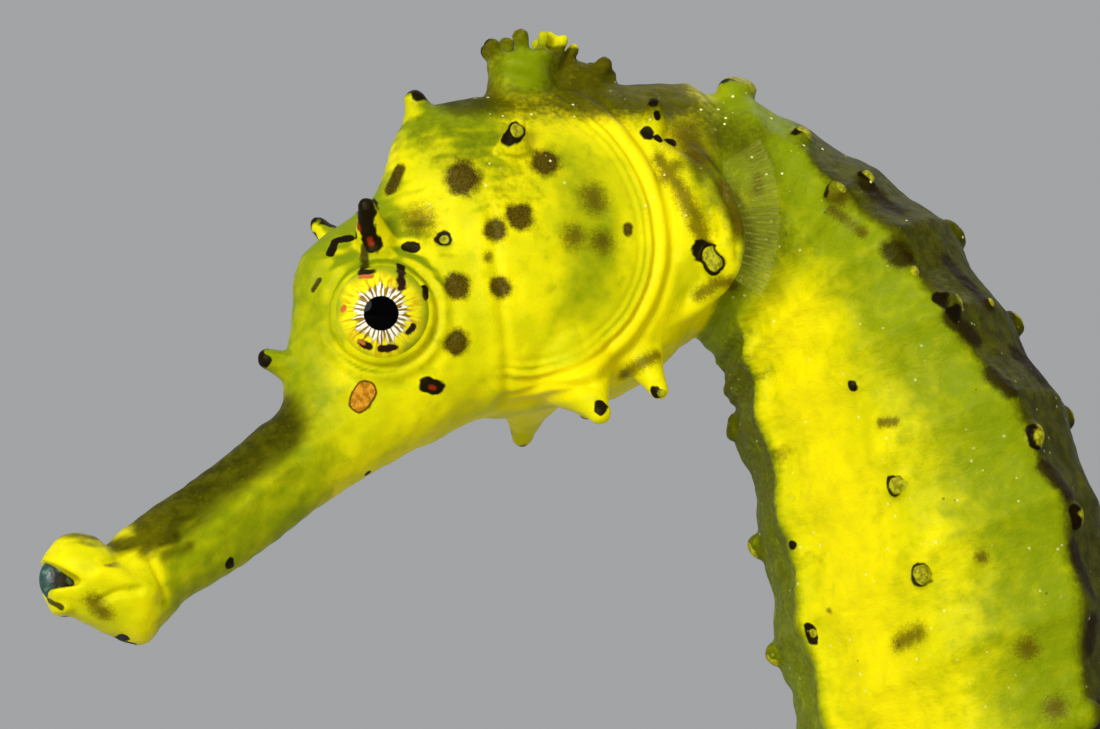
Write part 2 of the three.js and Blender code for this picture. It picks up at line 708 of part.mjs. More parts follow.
// The shoulder lobes that carry the pectoral fins, and the spine on each.
function shoulders() {

	return bothSides( ( side ) => {

		const lobe = toSolid( ellipsoid( 4.5, side * 2.8, 5.0, 2.2, 1.8, 3.7, 12, 8 ).applyMatrix4( neckPlace ) );
		const knob = spine( v( 4.4, side * 4.0, 3.4 ), v( 4.6, side * 5.1, 3.4 ), 0.6, 0.42 );
		return lobe.add( toSolid( knob.applyMatrix4( neckPlace ) ) );

	} );

}

const LENGTHS = [
	[ 'neck', 0, 3.5 ],
	[ 'trunk_upper', 3.5, 7.5 ],
	[ 'trunk_lower', 7.5, TRUNK_END ],
	[ 'tail_1', TRUNK_END, 17.5 ],
	[ 'tail_2', 17.5, 23.5 ],
	[ 'tail_3', 23.5, 30.5 ],
	[ 'tail_4', 30.5, 38.5 ],
	[ 'tail_5', 38.5, TRUNK_RINGS + TAIL.rings ],
];
const rods = { stand_rod_front: STAND.frontRod, stand_rod_back: STAND.backRod };
const rodHoles = union( Object.values( rods ).map( ( { x, top } ) => rod( x, top, GAP ) ) );

for ( const [ name, from, to ] of LENGTHS ) {

	let solid = bodyLength( from, to );
	if ( name === 'neck' ) solid = union( [ solid, ...shoulders() ] );
	solid = solid.subtract( endBlock( from, - 1, name === 'neck' ? 6 : 1 ) );
	if ( to < TRUNK_RINGS + TAIL.rings ) solid = solid.subtract( endBlock( to, 1, 1 ) );
	solid = placed( solid.subtract( finSlots ), toStand ).subtract( rodHoles );
	addPiece( name, solid, finish( SKIN, 0.5 ) );

}

addPiece( 'fin_dorsal', placed( dorsalFin(), toStand ), finish( FIN, 0.4 ) );
addPiece( 'fin_anal', placed( analFin(), toStand ), finish( FIN, 0.4 ) );
bothSides( ( side ) => {

	const fin = placed( pectoralFin( side ), toStand );
	addPiece( side < 0 ? 'fin_pectoral_left' : 'fin_pectoral_right', fin, finish( FIN, 0.4 ) );

} );

addPiece( 'stand_base', standBase().subtract( rodHoles ), finish( WOOD, 0.5 ) );
for ( const [ name, { x, top } ] of Object.entries( rods ) ) {

	addPiece( name, rod( x, top ), finish( STEEL, 0.3, 0.9 ) );

}

export default model;
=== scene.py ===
"""The looks of a life-size yellow seahorse on its display stand: skin, eyes, mouth, fins and stand.

Shapes are worked out in millimetres in the body's own frame, where the seahorse faces -X, and moved
to the stand's frame in metres when a mesh is made.
"""

import math

import bmesh
import bpy
import numpy as np
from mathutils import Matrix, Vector
from mathutils.bvhtree import BVHTree
from mathutils.kdtree import KDTree


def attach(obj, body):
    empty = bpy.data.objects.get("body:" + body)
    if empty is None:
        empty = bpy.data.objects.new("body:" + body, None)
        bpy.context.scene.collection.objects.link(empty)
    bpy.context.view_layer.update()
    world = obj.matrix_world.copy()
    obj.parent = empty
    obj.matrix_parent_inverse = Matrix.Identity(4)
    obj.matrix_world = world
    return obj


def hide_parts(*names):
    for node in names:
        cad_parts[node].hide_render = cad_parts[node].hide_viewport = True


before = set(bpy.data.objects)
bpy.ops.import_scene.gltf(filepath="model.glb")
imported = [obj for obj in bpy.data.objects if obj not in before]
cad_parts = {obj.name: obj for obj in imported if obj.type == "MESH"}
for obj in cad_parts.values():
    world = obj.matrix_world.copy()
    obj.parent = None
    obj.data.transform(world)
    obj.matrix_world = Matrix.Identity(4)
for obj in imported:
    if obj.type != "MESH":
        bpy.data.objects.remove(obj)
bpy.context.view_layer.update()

MM = 0.001
BODY_SHIFT = np.array([-10.6, 0.0, 60.8])  # body frame to stand frame
VOXEL = 0.1
# Rounds of smoothing: all the skin, then more at the nape and round the eyes, then after the folds.
SMOOTHING, EXTRA_SMOOTHING, FOLD_SMOOTHING = 16, 60, 4
LEFT, RIGHT = -1, 1  # the seahorse's left side faces -Y

# ---------------------------------------------------------------- form of the body

HEAD_TURN = 22  # degrees about the upright line through HEAD_PIVOT_X
HEAD_PIVOT_X = 6
NECK_TURN = 13
NECK_PIVOT_X = 6.6

# Head sections from the lips to the nape, before the turn:
# upper edge x and z, lower edge x and z, half width, narrowness of the top
HEAD_ROWS = np.array([
    [-21.2, -8.6, -20.8, -10.5, 0.85, 0],
    [-20.3, -7.7, -19.5, -11.0, 1.45, 0],
    [-19.3, -7.7, -18.4, -11.45, 1.7, 0],
    [-18.7, -8.1, -17.2, -11.8, 1.75, 0],
    [-18.1, -7.5, -16.3, -10.95, 1.6, 0],
    [-17.2, -6.8, -15.4, -10.0, 1.5, 0],
    [-15.3, -5.5, -13.0, -8.5, 1.5, 0],
    [-12.9, -3.6, -10.1, -6.3, 1.65, 0],
    [-11.6, -2.4, -7.6, -4.7, 1.9, 0.05],
    [-11.5, -1.1, -5.1, -3.4, 2.3, 0.1],
    [-11.2, 0.95, -3.6, -2.65, 2.7, 0.15],
    [-10.8, 3.5, -2.1, -2.45, 3.1, 0.2],
    [-7.9, 6.0, -0.7, -2.1, 3.5, 0.25],
    [-6.4, 9.2, 0.6, -1.85, 3.9, 0.25],
    [-2.6, 10.4, 2.1, -1.6, 4.2, 0.25],
    [1.7, 11.0, 3.8, -0.5, 4.15, 0.2],
    [5.3, 11.3, 4.7, 0.5, 3.9, 0.15],
])

# Sections of the nape, the trunk rings and the tail's root:
# back x and z, belly x and z, half width, turn in degrees, narrowness of the top
TRUNK_ROWS = np.array([
    [5.3, 11.2, 4.7, 0.5, 3.9, 22, 0.15],
    [7.6, 11.3, 5.6, 0.9, 4.0, 15, 0.05],
    [10.3, 9.9, 6.2, 0.6, 4.1, 5, -0.05],
    [13.3, 8.0, 6.6, 0.1, 4.3, -6, -0.15],
    [16.1, 5.7, 6.9, -1.0, 4.5, -15, -0.25],
    [18.5, 2.1, 7.2, -3.0, 4.7, -21, -0.3],
    [20.8, -1.5, 7.9, -7.0, 4.9, -24, -0.3],
    [22.3, -5.6, 8.5, -11.4, 5.0, -24, -0.3],
    [23.1, -9.8, 9.5, -15.0, 4.9, -24, -0.3],
    [23.2, -14.0, 11.4, -18.6, 4.6, -24, -0.25],
    [22.7, -18.0, 13.7, -21.8, 4.1, -24, -0.2],
    [21.9, -21.6, 15.4, -24.5, 3.5, -24, -0.1],
    [21.4, -25.2, 15.9, -26.8, 3.0, -24, 0],
])
TRUNK_RINGS = len(TRUNK_ROWS) - 1
TAIL_RINGS = 36
BODY_END = TRUNK_RINGS + TAIL_RINGS

TAIL_LENGTH = 82
TAIL_ROOT = (18.7, -26.0)
TAIL_HEADING = math.radians(-92)
TAIL_SLANT = math.radians(17)
TAIL_SLACK_RADIUS = 34
TAIL_COIL = (12, 28)  # lengths along the tail over which the coil sets in
TAIL_TIGHTNESS = 0.19
TAIL_INNER_RADIUS = 0.9
TAIL_ROOT_HALF = (2.9, 3.0)  # half depth and half width
TAIL_TIP_HALF = 0.42
TAIL_RING_CROWDING = 1.5
TAIL_TURN = -24
TAIL_TURN_RINGS = 7
PATH_STEP = 0.1

AROUND = 128  # points round a section of the skin's form
GROOVE = 0.14  # depth between two rings
# How far a section reaches out, as a share of its oval: on the back, on a ridge and between ridges.
BACK_SWELL, RIDGE_SWELL, VALLEY_SWELL = 0.96, 0.98, 0.965


def mix(a, b, share):
    return a + (b - a) * share


def smoothstep(x, low, high):
    t = np.clip((np.asarray(x, float) - low) / (high - low), 0, 1)
    return t * t * (3 - 2 * t)


def turned(points, x, degrees):
    """Points turned about the upright line through x."""
    c, s = math.cos(math.radians(degrees)), math.sin(math.radians(degrees))
    points = np.asarray(points, float)
    dx, y = points[..., 0] - x, points[..., 1]
    return np.stack([x + c * dx - s * y, s * dx + c * y, points[..., 2]], -1)


def unit(vector):
    return vector / np.linalg.norm(vector)


def circle(sides):
    """Angles evenly round a circle."""
    return np.arange(sides) * 2 * math.pi / sides


def spline(rows, s):
    """A smooth row of numbers at place s between rows."""
    last = len(rows) - 1
    i = min(int(s), last - 1)
    f = s - i
    a, b, d, e = (rows[min(max(k, 0), last)] for k in (i - 1, i, i + 1, i + 2))
    return b + 0.5 * f * (d - a + f * (2 * a - 5 * b + 4 * d - e + f * (3 * (b - d) + e - a)))


def tail_path():
    """Points of the tail's centre line, PATH_STEP apart, each with the way it heads."""
    x, z = TAIL_ROOT
    heading = TAIL_HEADING
    path = [(x, z, heading)]
    for n in range(1, round(TAIL_LENGTH / PATH_STEP) + 1):
        run = n * PATH_STEP
        coil_radius = TAIL_INNER_RADIUS + TAIL_TIGHTNESS * (TAIL_LENGTH - run)
        bend = mix(1 / TAIL_SLACK_RADIUS, 1 / coil_radius, smoothstep(run, *TAIL_COIL))
        heading -= bend * PATH_STEP
        x += math.cos(heading) * PATH_STEP
        z += math.sin(heading) * PATH_STEP
        path.append((x, z, heading))
    return np.array(path)


TAIL_PATH = tail_path()


def tail_row(ring):
    """The same numbers as in TRUNK_ROWS for a place along the tail, counted in rings."""
    run = TAIL_LENGTH * (1 - (1 - min(ring / TAIL_RINGS, 1)) ** TAIL_RING_CROWDING)
    x, z, heading = (np.interp(run / PATH_STEP, np.arange(len(TAIL_PATH)), c) for c in TAIL_PATH.T)
    left = 1 - run / TAIL_LENGTH
    settled = smoothstep(ring, 0, TAIL_TURN_RINGS)
    across = heading + math.pi / 2 + mix(TAIL_SLANT, 0, settled)
    half_depth, half_width = (mix(TAIL_TIP_HALF, root, left) for root in TAIL_ROOT_HALF)
    dx, dz = math.cos(across) * half_depth, math.sin(across) * half_depth
    return np.array([x + dx, z + dz, x - dx, z - dz, half_width, mix(TAIL_TURN, 0, settled), 0])


SPINE_ROWS = np.vstack([TRUNK_ROWS, tail_row(1), tail_row(2)])


def body_row(s):
    return spline(SPINE_ROWS, s) if s <= TRUNK_RINGS else tail_row(s - TRUNK_RINGS)


# The strip along the back is twisted a little: where its two edges run, in degrees from the middle.
TWIST_RINGS = (0, 2.9, 4.2, 5.0, 6.3, 7.2, 9.0, 12.0)
BACK_EDGE_LEFT = (46, 58, 51, 44, 34, 30, 34, 41)
BACK_EDGE_RIGHT = (40, 30, 34, 40, 50, 54, 47, 41)


def tail_share(s):
    """0 on the trunk and 1 on the tail, smooth between."""
    return smoothstep(s, TRUNK_RINGS - 2, TRUNK_RINGS + 2)


def back_edge(s, side):
    edge = np.interp(s, TWIST_RINGS, BACK_EDGE_LEFT if side == LEFT else BACK_EDGE_RIGHT)
    return mix(edge, 45, tail_share(s))


def ridges(s, side):
    """The ridges on one side at s: angle down from the back, how far they stand out, size of the knobs."""
    tail = float(tail_share(s))
    neck = float(smoothstep(s, 0, 2.5))
    thin = 1 if s <= TRUNK_RINGS else 1 - (s - TRUNK_RINGS) / TAIL_RINGS * 0.8
    return [
        (float(back_edge(s, side)), neck * mix(0.09, 0.3, tail), mix(0.5, 0.3, tail) * thin),
        (mix(80, 90, tail), neck * mix(0.06, 0, tail), mix(0.3, 0, tail)),
        (mix(130, 135, tail), neck * mix(0.02, 0.28, tail), mix(0.25, 0.3, tail) * thin),
        (180, neck * mix(0.02, 0, tail), mix(0.35, 0, tail)),
    ]


def row_turned(points, row):
    """Points of a section turned as its row says."""
    return turned(points, (row[0] + row[2]) / 2, row[5])


def section(row, angles, swell=1.0, push=0.0):
    """Points of a slanting oval section between the upper and lower edge points of a row."""
    upper = np.array([row[0], 0, row[1]])
    lower = np.array([row[2], 0, row[3]])
    angles = np.radians(angles)
    side = np.sin(angles) * (1 - row[-1] * np.cos(angles)) * row[4]
    points = np.outer(np.cos(angles), (upper - lower) / 2)
    points[:, 1] = -side
    outward = points / np.linalg.norm(points, axis=1)[:, None]
    swell, push = (np.reshape(value, (-1, 1)) for value in (swell, push))
    return points * swell + outward * push + (upper + lower) / 2


ROUND = np.arange(AROUND) * 360 / AROUND


def half_ring(s, side, crest, neck):
    """Angles, swells and pushes of a section's corners on one side, from the back to the belly."""
    angles, swell, push = [0], [BACK_SWELL], [-GROOVE * (1 - crest) * neck]
    for angle, share, knob in ridges(s, side):
        if s < TRUNK_RINGS + 1:
            angles.append((angles[-1] + angle) / 2)
            swell.append(VALLEY_SWELL)
            push.append(-GROOVE * (1 - crest) * neck)
        crowded = smoothstep(s, 5, 2.5) if angle > 100 else 0  # rings lie close together at the throat
        angles.append(angle)
        swell.append(RIDGE_SWELL + share)
        push.append((0.35 * knob * crest - GROOVE * (1 - crest)) * neck * (1 - 0.85 * crowded))
    return np.array([angles, swell, push])


def around_body(angle, side):
    """The angle round the body of an angle counted down from the back on one side."""
    return angle if side == LEFT else 360 - angle


def body_ring(s):
    """AROUND points round the body at s, with rounded ridges. Whole values of s are the rings' crests."""
    row = body_row(s)
    crest = (math.cos(s * math.pi) ** 2) ** 1.3
    neck = float(smoothstep(s, 0.2, 1))
    left = half_ring(s, LEFT, crest, neck)
    right = half_ring(s, RIGHT, crest, neck)[:, -2::-1]
    right[0] = 360 - right[0]
    angles, swell, push = np.hstack([left, right])
    corners = section(row, angles, swell, push)
    ring = np.stack([np.interp(ROUND, angles, c) for c in corners.T], -1)
    for _ in range(3):
        ring = 0.5 * ring + 0.25 * (np.roll(ring, 1, 0) + np.roll(ring, -1, 0))
    return row_turned(ring, row)


def body_point(s, angle):
    """A point of the body's surface at s. Angles above 180 are on the right."""
    row = body_row(s)
    half = [(0, 0, 0), *ridges(s, LEFT if angle <= 180 else RIGHT)]
    share = np.interp(min(angle, 360 - angle), [r[0] for r in half], [r[1] for r in half])
    point = section(row, [angle], RIDGE_SWELL + share)
    return row_turned(point, row)[0]


# ---------------------------------------------------------------- meshes

def tube_faces(count, sides):
    """The quads between rings of points, and the points' numbers."""
    a = np.arange(count * sides).reshape(count, sides)
    b = np.roll(a, -1, 1)
    return np.stack([a[:-1], b[:-1], b[1:], a[1:]], -1).reshape(-1, 4).tolist(), a, b


def loft(rings):
    """Vertices and faces of a closed skin over rings of points."""
    rings = np.asarray(rings)
    count, sides = rings.shape[:2]
    quads, a, b = tube_faces(count, sides)
    ends = [rings[0].mean(0), rings[-1].mean(0)]
    first, last = count * sides, count * sides + 1
    caps = [(first, b[0, j], a[0, j]) for j in range(sides)]
    caps += [(last, a[-1, j], b[-1, j]) for j in range(sides)]
    return np.vstack([rings.reshape(-1, 3), ends]), quads + [tuple(map(int, cap)) for cap in caps]


def ellipsoid(centre, radii, across=32, down=20):
    """A closed ellipsoid, with its poles along Z."""
    theta = np.linspace(0, math.pi, down + 1)[1:-1]
    phi = circle(across)
    rings = np.stack([
        np.outer(np.sin(theta), np.cos(phi)),
        np.outer(np.sin(theta), np.sin(phi)),
        np.outer(np.cos(theta), np.ones(across)),
    ], -1)
    vertices, faces = loft(rings[:, ::-1])
    vertices[-2:] = [(0, 0, 1), (0, 0, -1)]
    return vertices * np.asarray(radii, float) + np.asarray(centre, float), faces


def tapered(start, end, profile, sides=20):
    """A closed turned form from start to end. The profile is (share of the way, radius) pairs."""
    start, end = np.asarray(start, float), np.asarray(end, float)
    axis = end - start
    way = unit(axis)
    side = unit(np.cross(way, [0.3, 0.9, 0.1]))
    other = np.cross(way, side)
    turn = circle(sides)
    outline = np.outer(np.cos(turn), side) + np.outer(np.sin(turn), other)
    return loft([start + axis * share + outline * radius for share, radius in profile])


def spine(start, end, base, tip):
    """A blunt cone with a flared foot and a round tip."""
    neck = 1 - tip / np.linalg.norm(np.subtract(end, start))
    profile = [(t * neck, tip + (base - tip) * (1 - t) ** 1.35) for t in np.linspace(0, 1, 10)]
    for a in np.radians([18, 36, 54, 70, 82]):
        profile.append((neck + (1 - neck) * math.sin(a), tip * math.cos(a)))
    return tapered(start, end, profile)


def joined(parts):
    """Several closed forms as one list of vertices and faces."""
    vertices, faces, count = [], [], 0
    for part_vertices, part_faces in parts:
        vertices.append(part_vertices)
        faces += [tuple(i + count for i in face) for face in part_faces]
        count += len(part_vertices)
    return np.vstack(vertices), faces


def make_object(name, vertices, faces):
    mesh = bpy.data.meshes.new(name)
    mesh.from_pydata(np.asarray(vertices).tolist(), [], faces)
    mesh.validate()
    mesh.update()
    made = bpy.data.objects.new(name, mesh)
    bpy.context.scene.collection.objects.link(made)
    return made


def with_modifier(made, kind, **settings):
    """The object with one modifier applied to its mesh."""
    modifier = made.modifiers.new(kind, kind)
    for key, value in settings.items():
        setattr(modifier, key, value)
    graph = bpy.context.evaluated_depsgraph_get()
    mesh = bpy.data.meshes.new_from_object(made.evaluated_get(graph))
    made.modifiers.clear()
    made.data = mesh
    return made


def coordinates(mesh, key="co"):
    values = np.empty(len(mesh.vertices) * 3)
    mesh.vertices.foreach_get(key, values)
    return values.reshape(-1, 3)


def normals(mesh):
    return coordinates(mesh, "normal")


def move_points(mesh, points):
    mesh.vertices.foreach_set("co", points.astype(np.float32).ravel())
    mesh.update()


def smoothed(mesh, rounds, weight=1.0):
    """Takes the voxel steps out of a mesh without shrinking it."""
    edges = np.empty(len(mesh.edges) * 2, int)
    mesh.edges.foreach_get("vertices", edges)
    a, b = edges.reshape(-1, 2).T
    points = coordinates(mesh)
    count = len(points)
    degree = np.bincount(a, minlength=count) + np.bincount(b, minlength=count)
    weight = np.broadcast_to(np.reshape(weight, (-1, 1)), (count, 1))
    for step in [0.6, -0.62] * rounds:
        sums = [np.bincount(a, points[b, k], count) + np.bincount(b, points[a, k], count) for k in range(3)]
        pull = np.stack(sums, -1) / degree[:, None] - points
        points = points + step * weight * pull
    move_points(mesh, points)


def set_attribute(made, name, values):
    """Gives each vertex a number or a triple of numbers."""
    values = np.asarray(values, np.float32)
    kind, key = ("FLOAT", "value") if values.ndim == 1 else ("FLOAT_VECTOR", "vector")
    made.data.attributes.new(name, kind, "POINT").data.foreach_set(key, values.ravel())


def attribute(mesh, name):
    values = np.empty(len(mesh.vertices))
    mesh.attributes[name].data.foreach_get("value", values)
    return values


def facing_out(made):
    """The same object with its faces turned outwards."""
    shape = bmesh.new()
    shape.from_mesh(made.data)
    bmesh.ops.recalc_face_normals(shape, faces=shape.faces[:])
    shape.to_mesh(made.data)
    shape.free()
    return made


def to_stand(made):
    """Takes an object from millimetres in the body frame to metres in the stand's frame."""
    move_points(made.data, (coordinates(made.data) + BODY_SHIFT) * MM)
    made.data.shade_smooth()
    return made


# ---------------------------------------------------------------- skin: parts that are joined

def head_place(points):
    return turned(points, HEAD_PIVOT_X, HEAD_TURN)


def head_flat(points):
    """Points as they lie before the head's turn."""
    return turned(points, HEAD_PIVOT_X, -HEAD_TURN)


def neck_place(points):
    return turned(points, NECK_PIVOT_X, NECK_TURN)


def head_form():
    rings = []
    for s in np.arange(0, len(HEAD_ROWS) - 0.99, 0.1):
        rings.append(section(spline(HEAD_ROWS, s), ROUND))
    middle = rings[-1].mean(0)
    for share, shift in ((0.96, 0.5), (0.88, 1.0), (0.76, 1.5)):  # the rear end sinks into the neck
        rings.append(middle + (section(HEAD_ROWS[-1], ROUND) - middle) * share + (shift, 0, 0))
    return loft(rings)


def body_form():
    return loft([body_ring(s) for s in np.arange(0, BODY_END + 0.01, 0.05)])


# Spines of the head: start, end, radius of the foot, radius of the tip. y is for the right side.
PAIRED_SPINES = [
    ((-8.1, 1.2, 3.4), (-9.35, 2.95, 5.35), 1.15, 0.38),  # brow
    ((-0.5, 2.3, -0.7), (0.05, 4.35, -3.0), 2.0, 0.46),  # cheek
    ((2.1, 2.0, 0.8), (2.7, 3.9, -1.9), 1.45, 0.36),  # throat
    ((-3.1, 2.7, 7.8), (-3.2, 3.55, 8.9), 0.8, 0.34),  # temple
    ((2.9, 2.4, 9.0), (2.7, 3.3, 10.0), 0.8, 0.36),  # nape
]
MIDDLE_SPINES = [
    ((-10.6, 0, -1.1), (-12.6, 0, -0.5), 0.95, 0.44),  # nose
    ((-5.6, 0, 8.4), (-6.35, 0, 10.3), 1.4, 0.44),  # forehead
    ((1.6, 0, 10.2), (2.1, 0, 11.75), 1.1, 0.42),  # behind the crown
]
EYE = {"x": -8.4, "z": 1.05, "out": 2.35, "radius": 1.95, "depth": 1.35, "forward": 18}
ORBIT = {"x": -8.15, "out": 1.6, "radius": 2.45, "depth": 1.9}


def eye_axes(side):
    """Directions of an eye: towards the snout, up, and out through the pupil, before the head's turn."""
    a = math.radians(EYE["forward"])
    out = np.array([-math.sin(a), side * math.cos(a), 0])
    ahead = np.array([-math.cos(a), -side * math.sin(a), 0])
    return ahead, np.array([0, 0, 1.0]), out


def head_parts():
    parts = [head_form()]
    for start, end, base, tip in PAIRED_SPINES:
        for side in (LEFT, RIGHT):
            flip = np.array([1, side, 1])
            parts.append(spine(start * flip, end * flip, base, tip))
    parts += [spine(*row) for row in MIDDLE_SPINES]
    for side in (LEFT, RIGHT):
        radii = (ORBIT["radius"], ORBIT["depth"], ORBIT["radius"])
        vertices, faces = ellipsoid((0, 0, 0), radii, 48, 32)
        vertices = turned(vertices, 0, side * EYE["forward"])
        parts.append((vertices + (ORBIT["x"], side * ORBIT["out"], EYE["z"]), faces))
    parts.append(ellipsoid((4.6, 0, 5.9), (2.4, 3.3, 4.9)))  # ties the nape to the neck
    parts.append(ellipsoid((-20.3, 0, -10.5), (0.5, 0.85, 0.34)))  # lower lip
    parts += crown()
    return [(head_place(vertices), faces) for vertices, faces in parts]


# Small rounded knobs on the coronet, before the head's turn: place and radius.
CROWN_KNOBS = [
    ((-3.1, -0.45, 12.2), 0.36), ((-2.95, 0.5, 12.15), 0.32), ((-2.1, -0.95, 12.55), 0.36),
    ((-2.0, 0.9, 12.5), 0.36), ((-1.05, -0.75, 12.7), 0.26), ((-0.6, -0.3, 12.76), 0.28),
    ((-0.15, -0.6, 12.62), 0.25), ((-0.7, 0.75, 12.6), 0.3), ((0.45, -0.2, 12.35), 0.28),
    ((0.3, 0.6, 12.3), 0.28), ((1.7, -0.35, 11.75), 0.36), ((1.5, 0.5, 11.7), 0.34),
]


def crown():
    """The coronet: a short stalk that flares into a ring of small knobs, with a low ridge behind."""
    lean = np.array([[1, 0, 0.12], [0, 0.9, 0], [0.1, 0, 1]])
    place = np.array([-1.75, 0, 10.4])
    stalk = tapered((0, 0, -1.6), (0, 0, 1.75), [
        (0, 2.1), (0.2, 1.8), (0.4, 1.5), (0.55, 1.36), (0.7, 1.36), (0.85, 1.5), (0.95, 1.45), (1, 0.8),
    ], 40)
    parts = [(stalk[0] @ lean.T + place, stalk[1])]
    parts.append(ellipsoid((0.7, 0, 10.8), (1.5, 0.8, 1.15)))
    for centre, size in CROWN_KNOBS:
        parts.append(ellipsoid(centre, (size, size, size), 20, 14))
        foot = np.array([mix(-1.3, centre[0], 0.6), centre[1] * 0.7, 11.2])
        parts.append(tapered(foot, centre, [(0, size), (0.5, size * 0.75), (1, size * 0.8)]))
    return parts


# The rear margin of the shoulder lobe, from the back down to the throat: place and radius.
SHOULDER_MARGIN = [
    (4.6, 3.4, 8.0, 0.3), (5.2, 4.1, 7.0, 0.48), (5.75, 4.55, 5.8, 0.56), (6.0, 4.68, 4.5, 0.58),
    (5.85, 4.5, 3.3, 0.56), (5.2, 3.95, 2.3, 0.5), (4.2, 3.1, 1.5, 0.42), (3.2, 2.3, 0.9, 0.35),
]


def shoulder_parts():
    """The lobes that carry the pectoral fins, each with a rounded rear margin and a low knob."""
    parts = []
    for side in (LEFT, RIGHT):
        parts.append(ellipsoid((4.5, side * 2.8, 5.1), (1.9, 1.95, 3.4)))
        rows = np.array(SHOULDER_MARGIN) * (1, side, 1, 1)
        for t in np.linspace(0, len(rows) - 1, 36):
            x, y, z, size = spline(rows, t)
            parts.append(ellipsoid((x, y, z), (size, size * 0.9, size), 20, 14))
        parts.append(ellipsoid((5.35, side * 4.72, 3.5), (0.52, 0.45, 0.74), 24, 16))
    return [(neck_place(vertices), faces) for vertices, faces in parts]


# Single knobs of the trunk: place in the body frame and radius.
TRUNK_KNOBS = [
    ((7.5, -0.3, 10.9), 0.8), ((10.3, -3.05, 9.45), 0.44), ((12.95, -3.55, 7.6), 0.36),
    ((16.35, 2.2, 5.65), 0.62), ((18.7, 1.4, 1.9), 0.46), ((21.2, 1.1, -1.72), 0.46),
    ((7.6, 1.65, -2.3), 0.46), ((8.25, 2.3, -7.15), 0.42), ((9.0, 2.35, -11.5), 0.4),
]
# Knobs along the near edge of the back: ring, angle and radius.
EDGE_KNOBS = [
    (2.9, 60, 0.36), (4.5, 48, 0.26), (4.95, 40, 0.44), (4.95, 11, 0.24), (6.42, 31, 0.5), (7.2, 23, 0.42),
    (5.32, 87, 0.24), (6.36, 83, 0.4), (7.2, 82, 0.44),
]
FIRST_EVEN_RING = 9  # from here on every ring has its knobs


def knob_size(share):
    """Radius of a knob for the size that ridges() gives it."""
    return share * 0.85 + 0.08


def knob_form(place, outward, size):
    """A rounded oval pad that lies on the skin."""
    outward = unit(np.asarray(outward))
    up = unit(np.cross(outward, np.cross([0.25, 0, 1], outward)))
    axes = np.array([up, np.cross(up, outward), outward])
    vertices, faces = ellipsoid((0, 0, 0), (size * 1.25, size * 0.95, size * 0.66), 24, 16)
    return vertices @ axes + np.asarray(place) + axes[2] * size * 0.16, faces


def knob_parts(body):
    """Rounded knobs where the rings cross the ridges, and the single ones of the trunk."""
    places = [(place, size) for place, size in TRUNK_KNOBS]
    places += [(body_point(ring, angle), size) for ring, angle, size in EDGE_KNOBS]
    for ring in range(1, BODY_END - 1):
        for side in (LEFT, RIGHT):
            for edge, (angle, _, knob) in enumerate(ridges(ring, side)):
                doubled = angle == 180 and side == RIGHT
                placed_singly = ring < FIRST_EVEN_RING and (side == LEFT or edge in (0, 3))
                if knob < 0.05 or doubled or placed_singly:
                    continue
                places.append((body_point(ring, around_body(angle, side)), knob_size(knob)))
    parts = []
    for place, size in places:
        near, normal, _, _ = body.find_nearest(Vector(place))
        parts.append(knob_form(near, normal, size))
    return parts


MOUTH_CORNER = (-19.7, -9.62)
MOUTH_FRONT = ((-21.8, -8.35), (-21.9, -10.0))
MOUTH_HALF = 2.4


def mouth_wedge():
    """The gape between the lips, to be cut out of the snout's tip."""
    rings = []
    for y in (-MOUTH_HALF, MOUTH_HALF):
        rings.append([(x, y, z) for x, z in (MOUTH_CORNER, *MOUTH_FRONT)])
    vertices, faces = loft(rings)
    return head_place(vertices), faces


def remeshed(made):
    name = made.name
    made = with_modifier(made, "REMESH", mode="VOXEL", voxel_size=VOXEL, adaptivity=0)
    made.name = name
    return made


def build_skin():
    body = body_form()
    body_tree = BVHTree.FromPolygons(body[0].tolist(), body[1])
    vertices, faces = joined([*head_parts(), body, *shoulder_parts(), *knob_parts(body_tree)])
    skin = remeshed(make_object("skin", vertices, faces))
    wedge = facing_out(make_object("wedge", *mouth_wedge()))
    skin = with_modifier(skin, "BOOLEAN", operation="DIFFERENCE", solver="MANIFOLD", object=wedge)
    bpy.data.objects.remove(wedge)
    skin = remeshed(skin)
    skin.name = "skin"
    smoothed(skin.data, SMOOTHING)

    # the nape and a ring round each eye are smoothed further
    flat = head_flat(coordinates(skin.data))
    x, y, z = flat.T
    nape = smoothstep(x, 1.5, 4.0) * smoothstep(x, 10, 7) * smoothstep(z, 6.5, 8.5)
    nape *= smoothstep(np.abs(y), 4.2, 3.4)
    eye = eye_distance(flat)
    round_eye = smoothstep(eye, 3.6, 3.0) * smoothstep(eye, 1.8, 2.1)
    smoothed(skin.data, EXTRA_SMOOTHING, np.maximum(nape, 0.6 * round_eye))
    shape_details(skin)
    mark_skin(skin)
    return skin


# ---------------------------------------------------------------- skin: folds and wrinkles

def bump(x, centre, width):
    return np.exp(-((x - centre) / width) ** 2)


def stroke(points, path, width):
    """1 on a path seen from the side, fading out over a width."""
    path = np.array(path, float)
    distances = [distance_to_segment(points[:, [0, 2]], a, b) for a, b in zip(path[:-1], path[1:])]
    return bump(np.minimum.reduce(distances), 0, width)


def distance_to_segment(points, a, b):
    way = b - a
    share = np.clip((points - a) @ way / max(way @ way, 1e-9), 0, 1)
    return np.linalg.norm(points - a - share[:, None] * way, axis=1)


RIPPLE_WAVES = 14


